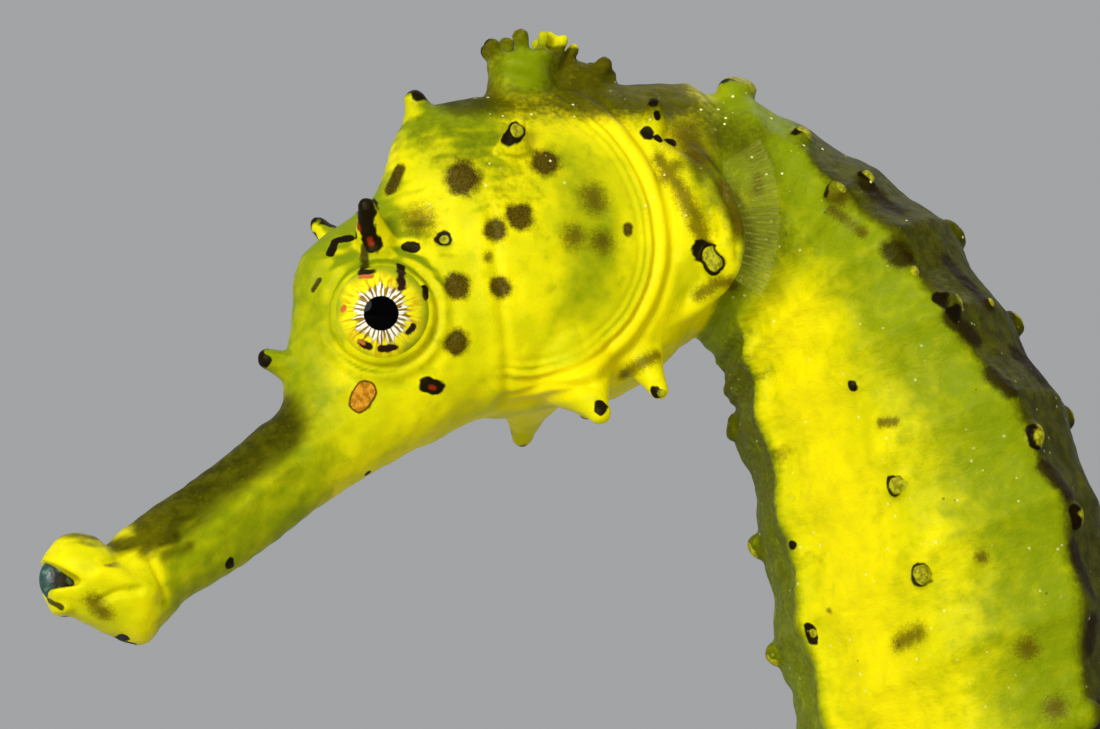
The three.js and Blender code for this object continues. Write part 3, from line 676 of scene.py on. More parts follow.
def ripples(points, length, seed):
    """Smooth lumps between about -1 and 1, roughly a length apart."""
    random = np.random.default_rng(seed)
    total = np.zeros(len(points))
    for _ in range(RIPPLE_WAVES):
        way = random.normal(size=3)
        way *= 2 * math.pi / (length * random.uniform(0.8, 1.7)) / np.linalg.norm(way)
        total += np.sin(points @ way + random.uniform(0, 2 * math.pi))
    return total / math.sqrt(RIPPLE_WAVES)


def body_coordinates(points):
    """For each point its place along the body, its angle round it and its distance from the body's form."""
    stations = np.arange(0, BODY_END + 0.01, 0.1)
    grid = np.array([body_ring(s)[::2] for s in stations])
    count, sides = grid.shape[:2]
    flat = grid.reshape(-1, 3)
    tree = KDTree(len(flat))
    for i, point in enumerate(flat):
        tree.insert(point, i)
    tree.balance()
    index = np.array([tree.find(point)[1] for point in points])
    row, column = index // sides, index % sides
    offset = points - flat[index]
    after, before = np.minimum(row + 1, count - 1), np.maximum(row - 1, 0)
    along = grid[after, column] - grid[before, column]
    around = grid[row, (column + 1) % sides] - grid[row, column - 1]
    steps = [np.clip((offset * way).sum(1) / (way * way).sum(1), -0.5, 0.5) for way in (along, around)]
    s = stations[row] + steps[0] * (stations[after] - stations[before])
    angle = (column + steps[1] * 2) * 360 / sides
    return s, angle % 360, np.linalg.norm(offset, axis=1)


# The gill cover's oval: its middle and half sizes.
OPERCLE = {"x": -3.0, "z": 4.2, "half_x": 5.1, "half_up": 6.6, "half_down": 5.4}
# Rims and grooves of the gill cover: share of its radius, height, width.
OPERCLE_RIMS = [
    (0.9, -0.05, 0.02), (0.93, 0.06, 0.018), (0.955, -0.08, 0.014), (0.985, 0.1, 0.02),
    (1.03, -0.14, 0.025), (1.1, 0.12, 0.04), (1.18, -0.14, 0.035),
]
# Rims and grooves round the eye: distance from its axis, height, width.
EYE_RIMS = [(1.9, 0.08, 0.13), (2.16, -0.13, 0.12), (2.42, 0.08, 0.17), (2.8, -0.07, 0.22)]
# Other folds of the head, as seen from the side before its turn: path in x and z, height, width.
HEAD_FOLDS = [
    ([(-4.3, 5.2), (-4.1, 2.5), (-3.6, -0.2), (-3.1, -2.2)], -0.09, 0.2),  # front edge of the gill cover
    ([(-4.75, 5.0), (-4.6, 2.5), (-4.1, -0.2), (-3.6, -2.4)], 0.07, 0.3),
    ([(-3.4, -2.0), (-1.8, -1.5), (-0.4, -1.55)], -0.14, 0.13),
    ([(-10.6, 0.4), (-9.2, -1.7), (-7.0, -2.9)], 0.08, 0.35),  # below the eye
    ([(-11.0, -2.6), (-13.6, -5.2), (-16.2, -7.9)], -0.07, 0.16),  # along the snout
    ([(-9.6, -3.2), (-12.4, -5.7), (-15.2, -8.4)], 0.06, 0.3),
    ([(-19.4, -9.15), (-18.4, -9.45), (-17.4, -9.85)], 0.22, 0.38),  # upper jaw bone
    ([(-17.9, -9.85), (-18.7, -9.95), (-19.3, -10.3)], -0.24, 0.12),  # fold of the lower jaw
    ([(-17.6, -8.3), (-17.1, -9.2), (-16.7, -10.3)], -0.12, 0.14),
    ([(-18.6, -8.7), (-19.2, -8.9), (-19.7, -9.2)], -0.1, 0.12),
    ([(-20.6, -10.35), (-19.9, -10.75), (-19.2, -11.0)], -0.12, 0.16),  # under the lower lip
    ([(3.3, 8.6), (4.6, 7.2), (5.2, 5.2), (5.4, 3.6)], -0.16, 0.2),  # in front of the shoulder
]


def opercle_ratio(flat):
    """1 on the rim of the gill cover, less inside it."""
    x, _, z = flat.T
    dz = z - OPERCLE["z"]
    half = np.where(dz > 0, OPERCLE["half_up"], OPERCLE["half_down"])
    return np.hypot((x - OPERCLE["x"]) / OPERCLE["half_x"], dz / half)


def eye_distance(flat):
    """Distance from the nearer eye's axis."""
    result = np.full(len(flat), 99.0)
    for side in (LEFT, RIGHT):
        out = eye_axes(side)[2]
        offset = flat - np.array([EYE["x"], side * EYE["out"], EYE["z"]])
        height = offset @ out
        away = np.linalg.norm(offset - np.outer(height, out), axis=1)
        result = np.where((flat[:, 1] * side > 0.4) & (height > -1.5), away, result)
    return result


def head_relief(flat, eye):
    """How far the head's folds and rims stand out."""
    sideways = smoothstep(np.abs(flat[:, 1]), 0.5, 1.6)
    push = -0.5 * smoothstep(eye, 1.66, 1.42)
    for distance, height, width in EYE_RIMS:
        push += height * bump(eye, distance, width)
    ratio = opercle_ratio(flat)
    rear = smoothstep(flat[:, 0], -4.2, -2.6) * sideways
    for rim, height, width in OPERCLE_RIMS:
        push += rear * height * bump(ratio, rim, width)
    for path, height, width in HEAD_FOLDS:
        push += sideways * height * stroke(flat, path, width)
    return push


def body_relief(points, s, angle):
    """How far the trunk's and tail's ridges, ring edges and wrinkles stand out."""
    half_angle = np.minimum(angle, 360 - angle)
    side_ridge = bump(half_angle, 132, 5) - 0.5 * bump(half_angle, 122, 6)
    push = smoothstep(s, 2.5, 4) * smoothstep(s, 14, 11) * 0.2 * side_ridge
    crest = np.cos(s * math.pi) ** 2
    push += (0.09 * crest ** 8 - 0.07 * (1 - crest) ** 4) * smoothstep(s, 2.0, 4)
    belly = smoothstep(np.abs(angle - 180), 80, 30) * smoothstep(s, 13, 10)
    wrinkle = np.sin(s * 2 * math.pi * 3.3 + 0.9 * ripples(points, 5, 3) + 1.3)
    return push + belly * 0.03 * wrinkle * smoothstep(s, 2.0, 4.5)


def shape_details(skin):
    """Pushes the skin in and out along its normals: folds, rims, ring edges and wrinkles."""
    points = coordinates(skin.data)
    flat = head_flat(points)
    s, angle, away = body_coordinates(points)
    on_body = np.maximum(smoothstep(away, 0.9, 0.35), smoothstep(s, 2.0, 3.0)) * smoothstep(s, 0.6, 1.6)
    eye = eye_distance(flat)
    push = head_relief(flat, eye) * (1 - on_body) + body_relief(points, s, angle) * on_body
    push += (0.022 * ripples(points, 1.3, 4) + 0.012 * ripples(points, 0.55, 5)) * smoothstep(eye, 1.7, 2.4)
    push *= np.where(s > TRUNK_RINGS, 1 - 0.8 * (s - TRUNK_RINGS) / TAIL_RINGS, 1)

    move_points(skin.data, points + normals(skin.data) * push[:, None])
    smoothed(skin.data, FOLD_SMOOTHING)
    for name, values in (("along", s), ("around", angle), ("on_body", on_body)):
        set_attribute(skin, name, values)


# ---------------------------------------------------------------- skin: markings

# Marks on the left side of the head, as seen from the side before its turn: x and z of both ends and
# radius, or only x, z and radius for a dot.
FUZZY_SPOTS = [
    (-3.4, 6.5, 0.8), (-0.2, 7.2, 0.7), (-1.2, 4.95, 0.64), (-2.1, 4.4, 0.54),
    (3.05, 4.5, 3.05, 4.7, 0.24), (-3.6, 2.15, 0.6), (-1.95, 2.15, 0.52), (-3.6, -0.05, 0.56),
    (-6.2, 6.2, -5.9, 6.9, 0.34),
]
FAINT_SPOTS = [
    (1.65, 5.9, 1.75, 5.65, 0.6), (0.95, 4.2, 0.56), (2.0, 4.05, 0.56), (-5.1, 4.75, 0.72),
    (-2.4, 3.3, 0.24), (5.3, 8.6, 6.0, 7.7, 0.9), (5.2, 6.1, 5.95, 4.65, 0.42),
    (6.8, 6.5, 7.4, 4.7, 0.42), (5.8, 2.2, 6.5, 2.6, 0.32), (6.5, 2.6, 7.2, 2.7, 0.3),
    (8.2, 6.4, 8.2, 7.0, 0.24), (13.6, -11.4, 14.3, -11.05, 0.42), (12.9, -2.9, 13.4, -2.9, 0.24),
    (-17.2, -10.3, -16.8, -10.75, 0.4), (2.9, -0.9, 4.2, -0.2, 0.3), (4.3, 7.6, 5.1, 6.3, 0.34),
    (5.6, 4.9, 6.1, 4.2, 0.3), (4.6, 6.9, 4.9, 7.3, 0.44),
]
DARK_MARKS = [
    (-4.72, -1.65, -4.4, -1.75, 0.36), (-5.55, 3.7, -5.25, 3.7, 0.24), (-4.15, 4.05, 0.38),
    (-7.15, 5.5, -7.15, 4.5, 0.5), (-7.2, 4.5, -6.85, 3.75, 0.4), (-7.5, 4.15, -8.3, 4.0, 0.19),
    (-8.3, 4.0, -8.5, 3.45, 0.19), (-7.2, 2.55, -6.85, 2.55, 0.22), (-5.75, 2.85, -5.7, 1.95, 0.2),
    (-4.82, 1.95, -4.8, 1.65, 0.18), (-5.45, 0.2, -5.25, 0.4, 0.17), (-6.45, -0.45, -5.95, -0.38, 0.19),
    (-7.25, -0.2, -6.95, -0.35, 0.18), (-7.05, -5.0, 0.16), (-12.2, -8.75, -12.2, -8.6, 0.2),
    (-16.15, -11.55, -16.3, -11.6, 0.26), (-1.6, 8.1, -1.3, 8.3, 0.44), (3.8, 8.7, 3.9, 8.6, 0.27),
    (4.2, 8.5, 4.3, 8.45, 0.17), (4.65, 8.38, 4.85, 8.3, 0.2), (4.25, 9.3, 4.2, 9.45, 0.16),
    (4.08, 9.85, 4.15, 10.2, 0.25), (6.0, 3.85, 6.4, 3.3, 0.5), (2.0, -2.4, 2.0, -2.5, 0.3),
    (4.1, -1.8, 4.1, -1.7, 0.26), (9.6, -7.35, 0.2),
]
LIGHT_MARKS = [
    (-1.3, 8.35, -1.25, 8.35, 0.26), (-4.1, 4.0, 0.2), (6.15, 3.75, 6.4, 3.35, 0.32), (4.4, -1.75, 0.22),
]
RED_MARKS = [
    (-7.42, 4.5, -7.38, 4.35, 0.22), (-6.95, 3.9, -6.9, 3.75, 0.17), (-7.25, 2.36, -6.85, 2.36, 0.11),
    (-4.6, -1.74, -4.45, -1.78, 0.14), (-7.3, -0.15, -7.15, -0.22, 0.1), (-7.95, 1.1, -7.9, 1.15, 0.17),
]
BROWN_MARKS = [
    (-7.2, 3.6, -7.12, 2.7, 0.22), (-18.95, -10.2, -18.4, -10.5, 0.14), (-8.9, 2.4, -9.15, 2.0, 0.13),
]
GOLD_MARKS = [(-7.1, -1.98, -7.3, -2.36, 0.45)]
# Marks along the trunk: ring and angle of both ends and radius, or ring, angle and radius for a dot.
TRUNK_FAINT = [
    (2.9, 62, 3.1, 60, 0.4), (3.1, 66, 3.7, 62, 0.26), (7.32, 62, 0.3), (7.05, 118, 0.14),
]
TRUNK_BROWN = [
    (4.2, 54, 4.35, 51, 0.55), (5.1, 43, 5.35, 34, 0.5), (5.75, 38, 5.95, 36, 0.5),
    (6.7, 31, 6.95, 27, 0.55), (7.5, 25, 7.85, 23, 0.55), (8.2, 24, 8.4, 25, 0.55),
    (9.0, 24, 9.3, 27, 0.6), (3.2, 40, 3.6, 34, 0.6), (4.5, 20, 4.9, 14, 0.6), (5.5, 8, 5.8, 2, 0.6),
]
TRUNK_DARK = [
    (2.82, 63, 2.82, 59, 0.2), (4.86, 44, 5.05, 41, 0.34), (6.37, 34, 6.52, 33, 0.34),
    (7.15, 26, 7.3, 25, 0.3), (5.32, 87, 0.28), (6.34, 84, 6.36, 83, 0.48), (7.2, 82, 0.56),
    (7.08, 128, 7.2, 128, 0.27),
]
TRUNK_LIGHT = [
    (4.5, 47, 0.24), (4.97, 38.5, 0.42), (4.95, 11, 0.24), (6.44, 29.5, 0.5), (7.21, 21.5, 0.42),
    (6.37, 81.8, 0.38), (7.21, 81.2, 0.42), (7.14, 127.2, 7.16, 127.2, 0.16), (2.93, 58, 0.24),
]
# Darker strokes on the snout: ends, width, strength.
OLIVE_STROKES = [
    ((-12.6, -3.4, -17.0, -7.3), 0.75, 0.62), ((-11.4, -3.7, -16.4, -7.9), 0.5, 0.55),
    ((-16.4, -7.2, -17.3, -7.7), 0.35, 0.6), ((-11.6, -5.0, -14.6, -7.6), 0.4, 0.3),
    ((-16.4, -7.7, -17.4, -7.9), 0.5, 0.9), ((-17.3, -7.9, -18.5, -8.15), 0.42, 0.85),
    ((-15.9, -8.1, -16.8, -8.5), 0.42, 0.6),
]
SNOUT_SLOPE = math.radians(36)
SNOUT = {"x": -16.3, "z": -8.4, "half": 1.87}  # a point of its middle line and its half depth
SPREAD_SEED = 11
DRAPE_STEP = 0.25
SIDE_SHIFT, RING_SHIFT = 0.5, 0.15  # how far marks are moved on the right side: millimetres and rings
SMALLEST_MARKED_KNOB, PLAIN_SHARE = 0.12, 0.35  # small knobs and this share of the others have no marks
SPOT_SPACING = 0.55  # rings from one spot of the tail to the next
BELLY_EDGE = 131  # degrees from the middle of the back to the edge of the keel


def on_skin(tree, place):
    """The nearest point of the skin."""
    return tree.find_nearest(Vector(place))[0]


def dropped(tree, x, z):
    """The point of the left side seen at x and z, or nothing."""
    hit = tree.ray_cast(Vector((x, -40, z)), Vector((0, 1, 0)))[0]
    return np.array(hit) if hit else None


def both_ends(mark):
    """A mark's first end, second end and radius. A dot has equal ends."""
    return mark if len(mark) == 5 else (*mark[:2], *mark)


def dot(place, radius):
    """A round mark, as two equal ends and its radius."""
    return np.array([place, place]), radius


def draped(tree, mark):
    """A mark seen from the side as short pieces that follow the form: their ends and radius."""
    x1, z1, x2, z2, radius = both_ends(mark)
    steps = max(2, round(math.hypot(x2 - x1, z2 - z1) / DRAPE_STEP) + 1)
    places = [dropped(tree, mix(x1, x2, t), mix(z1, z2, t)) for t in np.linspace(0, 1, steps)]
    pairs = zip(places[:-1], places[1:])
    return [(np.array([a, b]), radius) for a, b in pairs if a is not None and b is not None]


def head_ends(marks, tree, mirrored=True):
    """The pieces of each mark on the skin of the left side, and the same marks moved to the right side."""
    random = np.random.default_rng(SPREAD_SEED)
    result = []
    for mark in marks:
        pieces = draped(tree, mark)
        result += pieces
        if mirrored:
            shift = random.normal(0, SIDE_SHIFT, 2)
            result += [(on_right_side(ends, shift, tree), radius) for ends, radius in pieces]
    return result


def trunk_ends(marks, tree):
    """The trunk's marks on the skin of the left side, and the same marks moved along on the right side."""
    random = np.random.default_rng(SPREAD_SEED)
    result = []
    for mark in marks:
        *ends, radius = both_ends(mark)
        for flip, shift in ((1, 0), (-1, random.normal(0, RING_SHIFT))):
            places = [body_point(ends[i] + shift, (flip * ends[i + 1]) % 360) for i in (0, 2)]
            result.append((np.array([on_skin(tree, place) for place in places]), radius))
    return result


def nearness(points, marks):
    """Distance to the nearest mark as a share of its radius, 3 at most."""
    result = np.full(len(points), 3.0)
    for (a, b), radius in marks:
        close = np.linalg.norm(points - (a + b) / 2, axis=1) < np.linalg.norm(a - b) + radius * 3
        share = distance_to_segment(points[close], a, b) / radius
        result[close] = np.minimum(result[close], share)
    return result


def on_right_side(ends, shift, tree):
    """Ends of a head's mark carried over to the right side and moved a little."""
    flat = head_flat(ends) * (1, -1, 1) + (shift[0], 0, shift[1])
    return np.array([on_skin(tree, point) for point in head_place(flat)])


def knob_marks(tree):
    """A pale tip and a dark rim for the knobs of the tail and the lower trunk."""
    random = np.random.default_rng(SPREAD_SEED)
    dark, light = [], []
    for place, size in TRUNK_KNOBS:
        x, y, z = on_skin(tree, place)
        dark.append((np.array([(x - 0.6 * size, y, z - 0.3 * size), (x - 0.3 * size, y, z)]), size * 0.8))
        light.append((np.array([(x, y, z), (x + 0.4 * size, y, z - 0.2 * size)]), size * 0.8))
    for ring in range(FIRST_EVEN_RING, BODY_END - 6):
        for side in (LEFT, RIGHT):
            for angle, _, knob in ridges(ring, side):
                if knob < SMALLEST_MARKED_KNOB or random.uniform() < PLAIN_SHARE:
                    continue
                around = around_body(angle, side)
                size = knob_size(knob)
                light.append(dot(on_skin(tree, body_point(ring, around)), size * 0.75))
                dark.append(dot(on_skin(tree, body_point(ring - 0.06, around)), size * 1.05))
    return dark, light


def tail_spots(tree):
    """Soft brown spots scattered over the lower trunk and the tail."""
    random = np.random.default_rng(SPREAD_SEED)
    spots = []
    for s in np.arange(8, BODY_END - 8, SPOT_SPACING):
        place = on_skin(tree, body_point(s + random.uniform(-0.3, 0.3), random.uniform(0, 360)))
        spots.append(dot(place, random.uniform(0.25, 0.6) * (1.1 - s / BODY_END)))
    return spots


# Spines of the head whose tips are black: place before the head's turn and radius of the mark.
BLACK_TIPS = [
    ((-9.35, -2.95, 5.4), 0.5), ((-9.35, 2.95, 5.4), 0.55), ((-12.75, 0.25, -0.5), 0.5),
    ((-12.5, -0.3, -0.75), 0.3), ((-6.2, 0.3, 10.35), 0.5), ((-6.1, -0.35, 10.1), 0.36),
    ((0.05, 4.4, -3.1), 0.5), ((2.7, 3.95, -2.0), 0.4), ((-3.2, 3.6, 8.95), 0.4),
    ((1.9, 0.2, 11.7), 0.55), ((-3.2, -0.3, 12.3), 0.4), ((-3.0, 0.6, 12.2), 0.4),
]


def tip_marks(tree):
    """The black tips of the head's spines."""
    return [dot(on_skin(tree, head_place(np.array(place))), radius) for place, radius in BLACK_TIPS]


class Places:
    """Where the points of the skin lie, in the terms that the colour fields are given in."""

    def __init__(self, mesh):
        self.points = coordinates(mesh)
        self.flat = head_flat(self.points)  # before the head's turn
        self.x, self.y, self.z = self.flat.T
        self.s = attribute(mesh, "along")
        self.angle = attribute(mesh, "around")
        self.on_body = attribute(mesh, "on_body")
        self.on_head = 1 - self.on_body
        self.up = normals(mesh)[:, 2]
        self.sideways = smoothstep(np.abs(self.y), 0.5, 1.6)
        self.half_angle = np.minimum(self.angle, 360 - self.angle)
        left, right = (back_edge(self.s, side) for side in (LEFT, RIGHT))
        self.from_back = np.where(self.angle < 180, self.angle - left, 360 - self.angle - right)
        self.ratio = opercle_ratio(self.flat)
        # painted shade: a darker band along the groove between the gill cover and the shoulder lobe, used
        # by the olive and green fields
        shoulder = stroke(self.flat, [(4.0, 7.6), (5.3, 6.2), (6.6, 4.4)], 1.5)
        self.shoulder = shoulder * self.x_rise(3.0, 4.2) * self.sideways

    # Each rise is 0 at low, 1 at high and smooth between.
    def x_rise(self, low, high):
        return smoothstep(self.x, low, high)

    def z_rise(self, low, high):
        return smoothstep(self.z, low, high)

    def s_rise(self, low, high):
        return smoothstep(self.s, low, high)

    def disc(self, x, z, width):
        """1 at a place seen from the side, fading out round it."""
        return bump(np.hypot(self.x - x, self.z - z), 0, width)


def olive_and_shade_field(at):
    """Where the skin is dark green: the back, the keel, the crown and the top of the snout, with painted
    shade on the forehead, on the lips where they face upwards and in front of the shoulder.
    """
    fading = mix(1, 0.45, at.s_rise(12, 26))
    back = smoothstep(at.from_back, 7, -7) * at.s_rise(1.0, 3.0) * fading
    keel = smoothstep(at.half_angle, BELLY_EDGE - 4, BELLY_EDGE + 5) * at.s_rise(0.5, 2.5) * fading
    keel = mix(0.62, 0.42, at.s_rise(5, 8)) * keel * at.s_rise(1.5, 4)
    notches = (1 - np.cos(at.s * math.pi) ** 2) ** 6 * smoothstep(at.half_angle, 112, 138)
    notches = 0.7 * notches * at.s_rise(8, 5) * at.s_rise(3.0, 4.2)
    edge = 9.7 + 0.02 * at.x
    top = smoothstep(at.z, edge - 1.3, edge + 0.3) * at.x_rise(-6.3, -4.8) * at.x_rise(7.0, 4.0)
    knobs = at.z_rise(12.3, 12.5) * at.x_rise(-1.7, -1.4) * at.x_rise(0.9, 0.6)
    crown = 0.85 * top * np.clip(1 - at.disc(-1.9, 11.3, 1.25) - 0.8 * knobs, 0, 1)
    behind_crown = 0.6 * stroke(at.flat, [(2.6, 10.6), (4.6, 9.6), (6.4, 8.4)], 1.5) * at.x_rise(9.5, 7.0)
    snout = at.x_rise(-10.2, -12.0) * at.x_rise(-18.4, -17.4) * at.z_rise(-1.2, -2.6)
    across = (at.z - SNOUT["z"]) * math.cos(SNOUT_SLOPE) - (at.x - SNOUT["x"]) * math.sin(SNOUT_SLOPE)
    rise = across / SNOUT["half"]
    snout = snout * (0.9 * smoothstep(rise, -0.1, 0.65) + 0.12 * smoothstep(rise, -0.5, -0.95))
    # painted shade: dark green where the lips face upwards
    lips = 0.6 * at.x_rise(-18.2, -19.0) * smoothstep(at.up, 0.45, 0.9)
    # painted shade: dark green over the forehead
    forehead = 0.3 * at.x_rise(-7.5, -6.2) * smoothstep(at.z + 0.8 * at.x, 0.6, 2.6) * at.x_rise(-1, -3.4)
    strokes = [
        strength * stroke(at.flat, [(x1, z1), (x2, z2)], width)
        for (x1, z1, x2, z2), width, strength in OLIVE_STROKES
    ]
    body = at.on_body * np.maximum.reduce([back, keel, notches])
    head = at.on_head * np.maximum.reduce([crown, forehead, *strokes])
    # half of the shoulder's painted shade goes into the olive
    return np.maximum.reduce([body, head, behind_crown, snout, lips, 0.5 * at.shoulder])


def green_and_shade_field(at):
    """Where the skin is yellowish green: inside the gill cover, round the eye, the snout and the sides,
    with painted shade where the front of the head faces upwards, along the upper flanks and in front of the
    shoulder.
    """
    cover = 0.7 * smoothstep(at.ratio, 0.95, 0.6) * at.x_rise(-3.6, -0.2) * at.sideways
    # painted shade: darker green where the front of the head faces upwards
    front = 0.9 * at.x_rise(-2.5, -4) * at.x_rise(-17.6, -15.5) * smoothstep(at.up, 0.05, 0.6)
    # an even green tone over the body, with painted shade that makes it greener up towards the back
    flank_tone_and_shade = np.maximum(0.86 * smoothstep(at.from_back, 66, 12) * at.s_rise(0.8, 2.0), 0.34)
    keel = 0.9 * smoothstep(at.half_angle, 124, 134)
    nape = 0.95 * smoothstep(at.points[:, 0], 5.0, 7.5) * at.z_rise(4.0, 7.5)
    return np.maximum.reduce([
        at.on_head * np.maximum(cover, front),
        at.on_body * np.maximum.reduce([flank_tone_and_shade, keel, 0.8 * at.s_rise(5.0, 2.6)]),
        0.36 * bump(eye_distance(at.flat), 2.3, 0.7),
        0.7 * at.x_rise(-8.6, -11.0) * at.x_rise(-17.6, -16.2),
        1.1 * at.disc(-1.9, 11.4, 1.8) * at.z_rise(9.8, 10.4),
        # the shoulder's painted shade
        0.75 * at.shoulder,
        nape * smoothstep(at.points[:, 0], 15, 12),
    ])


def rim_and_highlight_field(at):
    """Where the yellow is brightest: the rim of the gill cover, and a painted highlight along the middle of
    each side of the trunk.
    """
    rim = smoothstep(at.ratio, 0.97, 1.0) * smoothstep(at.ratio, 1.3, 1.12) * at.x_rise(-3.6, -2.2)
    # painted highlight: a band of brighter yellow along the middle of each side of the trunk
    painted_highlight = 0.75 * bump(at.half_angle, 106, 18) * at.on_body * at.s_rise(2.5, 4.5)
    return np.maximum(rim * at.sideways * at.z_rise(10.2, 9.2) * at.on_head, painted_highlight)


def mark_skin(skin):
    """Stores where the skin's colours and marks lie."""
    mesh = skin.data
    at = Places(mesh)
    tree = BVHTree.FromPolygons(at.points.tolist(), [tuple(p.vertices) for p in mesh.polygons])
    knob_dark, knob_light = knob_marks(tree)
    marks = {
        "fuzzy": head_ends(FUZZY_SPOTS, tree),
        "faint": head_ends(FAINT_SPOTS, tree) + trunk_ends(TRUNK_FAINT, tree) + tail_spots(tree),
        "brown": head_ends(BROWN_MARKS, tree) + trunk_ends(TRUNK_BROWN, tree),
        "dark": head_ends(DARK_MARKS, tree) + trunk_ends(TRUNK_DARK, tree) + knob_dark + tip_marks(tree),
        "light": head_ends(LIGHT_MARKS, tree) + trunk_ends(TRUNK_LIGHT, tree) + knob_light,
        "red": head_ends(RED_MARKS, tree, mirrored=False),
        "gold": head_ends(GOLD_MARKS, tree),
    }
    for name, ends in marks.items():
        set_attribute(skin, name, nearness(at.points, ends))
    # the olive field holds painted shade too: the forehead, the upward-facing lips and in front of the
    # shoulder
    set_attribute(skin, "olive", olive_and_shade_field(at))
    set_attribute(skin, "snout", at.x_rise(-9.5, -11.5))
    # the green field holds painted shade too: the upward-facing front of the head, the upper flanks and in
    # front of the shoulder
    set_attribute(skin, "green", green_and_shade_field(at))
    # brightest yellow: the gill cover's rim and a painted highlight along the trunk
    set_attribute(skin, "rim_and_highlight", rim_and_highlight_field(at))
    sparks = at.z_rise(4.0, 7.0) * at.x_rise(-8, -5) + 0.4 * at.on_body
    set_attribute(skin, "sparks", np.clip(sparks, 0, 1))


# ---------------------------------------------------------------- eyes, fins and stand

# Marks that start in here, as seen from the side, run on over the eye.
NEAR_EYE_X, NEAR_EYE_Z = (-8.5, -4.7), (-1, 3.2)


def near_eye(mark):
    return NEAR_EYE_X[0] < mark[0] < NEAR_EYE_X[1] and NEAR_EYE_Z[0] < mark[1] < NEAR_EYE_Z[1]


def build_eye(name, side):
    """An eyeball with its pole through the pupil."""
    vertices, faces = ellipsoid((0, 0, 0), (EYE["radius"], EYE["radius"], EYE["depth"]), 128, 96)
    centre = np.array([EYE["x"], side * EYE["out"], EYE["z"]])
    eye = make_object(name, head_place(vertices @ np.array(eye_axes(side)) + centre), faces)
    set_attribute(eye, "in_eye", vertices)
    facing_out(eye)
    # marks are placed on the left side, so the right eye's points are turned over to it
    left = head_place(head_flat(coordinates(eye.data)) * (1, 1 if side == LEFT else -1, 1))
    tree = BVHTree.FromPolygons(left.tolist(), faces)
    for mark_name, marks in (("dark", DARK_MARKS + BROWN_MARKS), ("red", RED_MARKS)):
        pieces = [piece for mark in marks if near_eye(mark) for piece in draped(tree, mark)]
        set_attribute(eye, mark_name, nearness(left, pieces))
    return eye


def build_lining():
    """The wet lining of the mouth, seen between the lips."""
    vertices, faces = ellipsoid((-20.45, 0.1, -9.4), (0.78, 0.5, 0.9), 40, 28)
    return facing_out(make_object("mouth_lining", head_place(vertices), faces))


def y_turned(points, degrees):
    """Points turned about Y."""
    c, s = math.cos(math.radians(degrees)), math.sin(math.radians(degrees))
    x, y, z = points.T
    return np.stack([c * x + s * z, y, c * z - s * x], -1)


# Each fin is a fan: count of rays, half height of its root, spread of its outer rays, length,
# how far its root is sunk.
DORSAL_FIN = {"rays": 17, "root_half": 3.8, "spread": 22, "length": 6.2, "sunk": 0.8}
PECTORAL_FIN = {"rays": 19, "root_half": 2.3, "spread": 36, "length": 2.0, "sunk": 0.3}
ANAL_FIN = {"rays": 4, "root_half": 0.6, "spread": 20, "length": 1.9, "sunk": 0.8}
STEPS_PER_RAY, STEPS_OUTWARDS = 10, 28


def build_fan(name, rays, root_half, spread, length, sunk):
    """A thin membrane in x (outwards) and z (upwards), thicker along its rays."""
    count = (rays - 1) * STEPS_PER_RAY + 1
    across = np.linspace(-1, 1, count)
    on_ray = 0.5 + 0.5 * np.cos(np.arange(count) * 2 * math.pi / STEPS_PER_RAY)
    turn = np.radians(spread) * across
    full = length * (1 - 0.25 * across ** 2) * (0.95 + 0.05 * on_ray ** 0.5)
    rings, ray_values, reach_values = [], [], []
    for reach in [-1, *np.linspace(0, 1, STEPS_OUTWARDS)]:
        run = full * reach if reach >= 0 else np.full(count, -sunk)
        x = np.where(run < 0, run, run * np.cos(turn))
        z = root_half * across + np.where(run < 0, 0, run * np.sin(turn))
        wave = 0.07 * np.sin(across * 7 + reach * 2) * max(reach, 0)
        half = mix(0.03, 0.07 * (1 - 0.6 * max(reach, 0)), on_ray ** 4) * min(1, (1.04 - reach) * 6)
        sheet = [np.stack([x, wave + way * half, z], -1) for way in (1, -1)]
        rings.append(np.vstack([sheet[0], sheet[1][::-1]]))
        ray_values.append(np.concatenate([on_ray, on_ray[::-1]]))
        reach_values.append(np.full(2 * count, max(reach, 0)))
    faces, numbers, _ = tube_faces(len(rings), 2 * count)
    for edge in (numbers[0].tolist(), numbers[-1].tolist()):  # a strip closes the root and the margin
        faces += [(edge[i], edge[i + 1], edge[-2 - i], edge[-1 - i]) for i in range(count - 1)]
    fan = make_object(name, np.vstack(rings), faces)
    set_attribute(fan, "on_ray", np.concatenate(ray_values))
    set_attribute(fan, "reach", np.concatenate(reach_values))
    return facing_out(fan)


# Fins in the middle plane: form, tilt in degrees and place of the root, before the trunk's turn.
MIDDLE_FINS = {"dorsal": (DORSAL_FIN, 7, (21.9, 0, -21.6)), "anal": (ANAL_FIN, 200, (16.1, 0, -26.0))}
TRUNK_PIVOT_X = 18.5
PECTORAL_OPENING = 10  # degrees
PECTORAL_ROOT = (5.95, 4.85, 5.2)  # y is for the right side


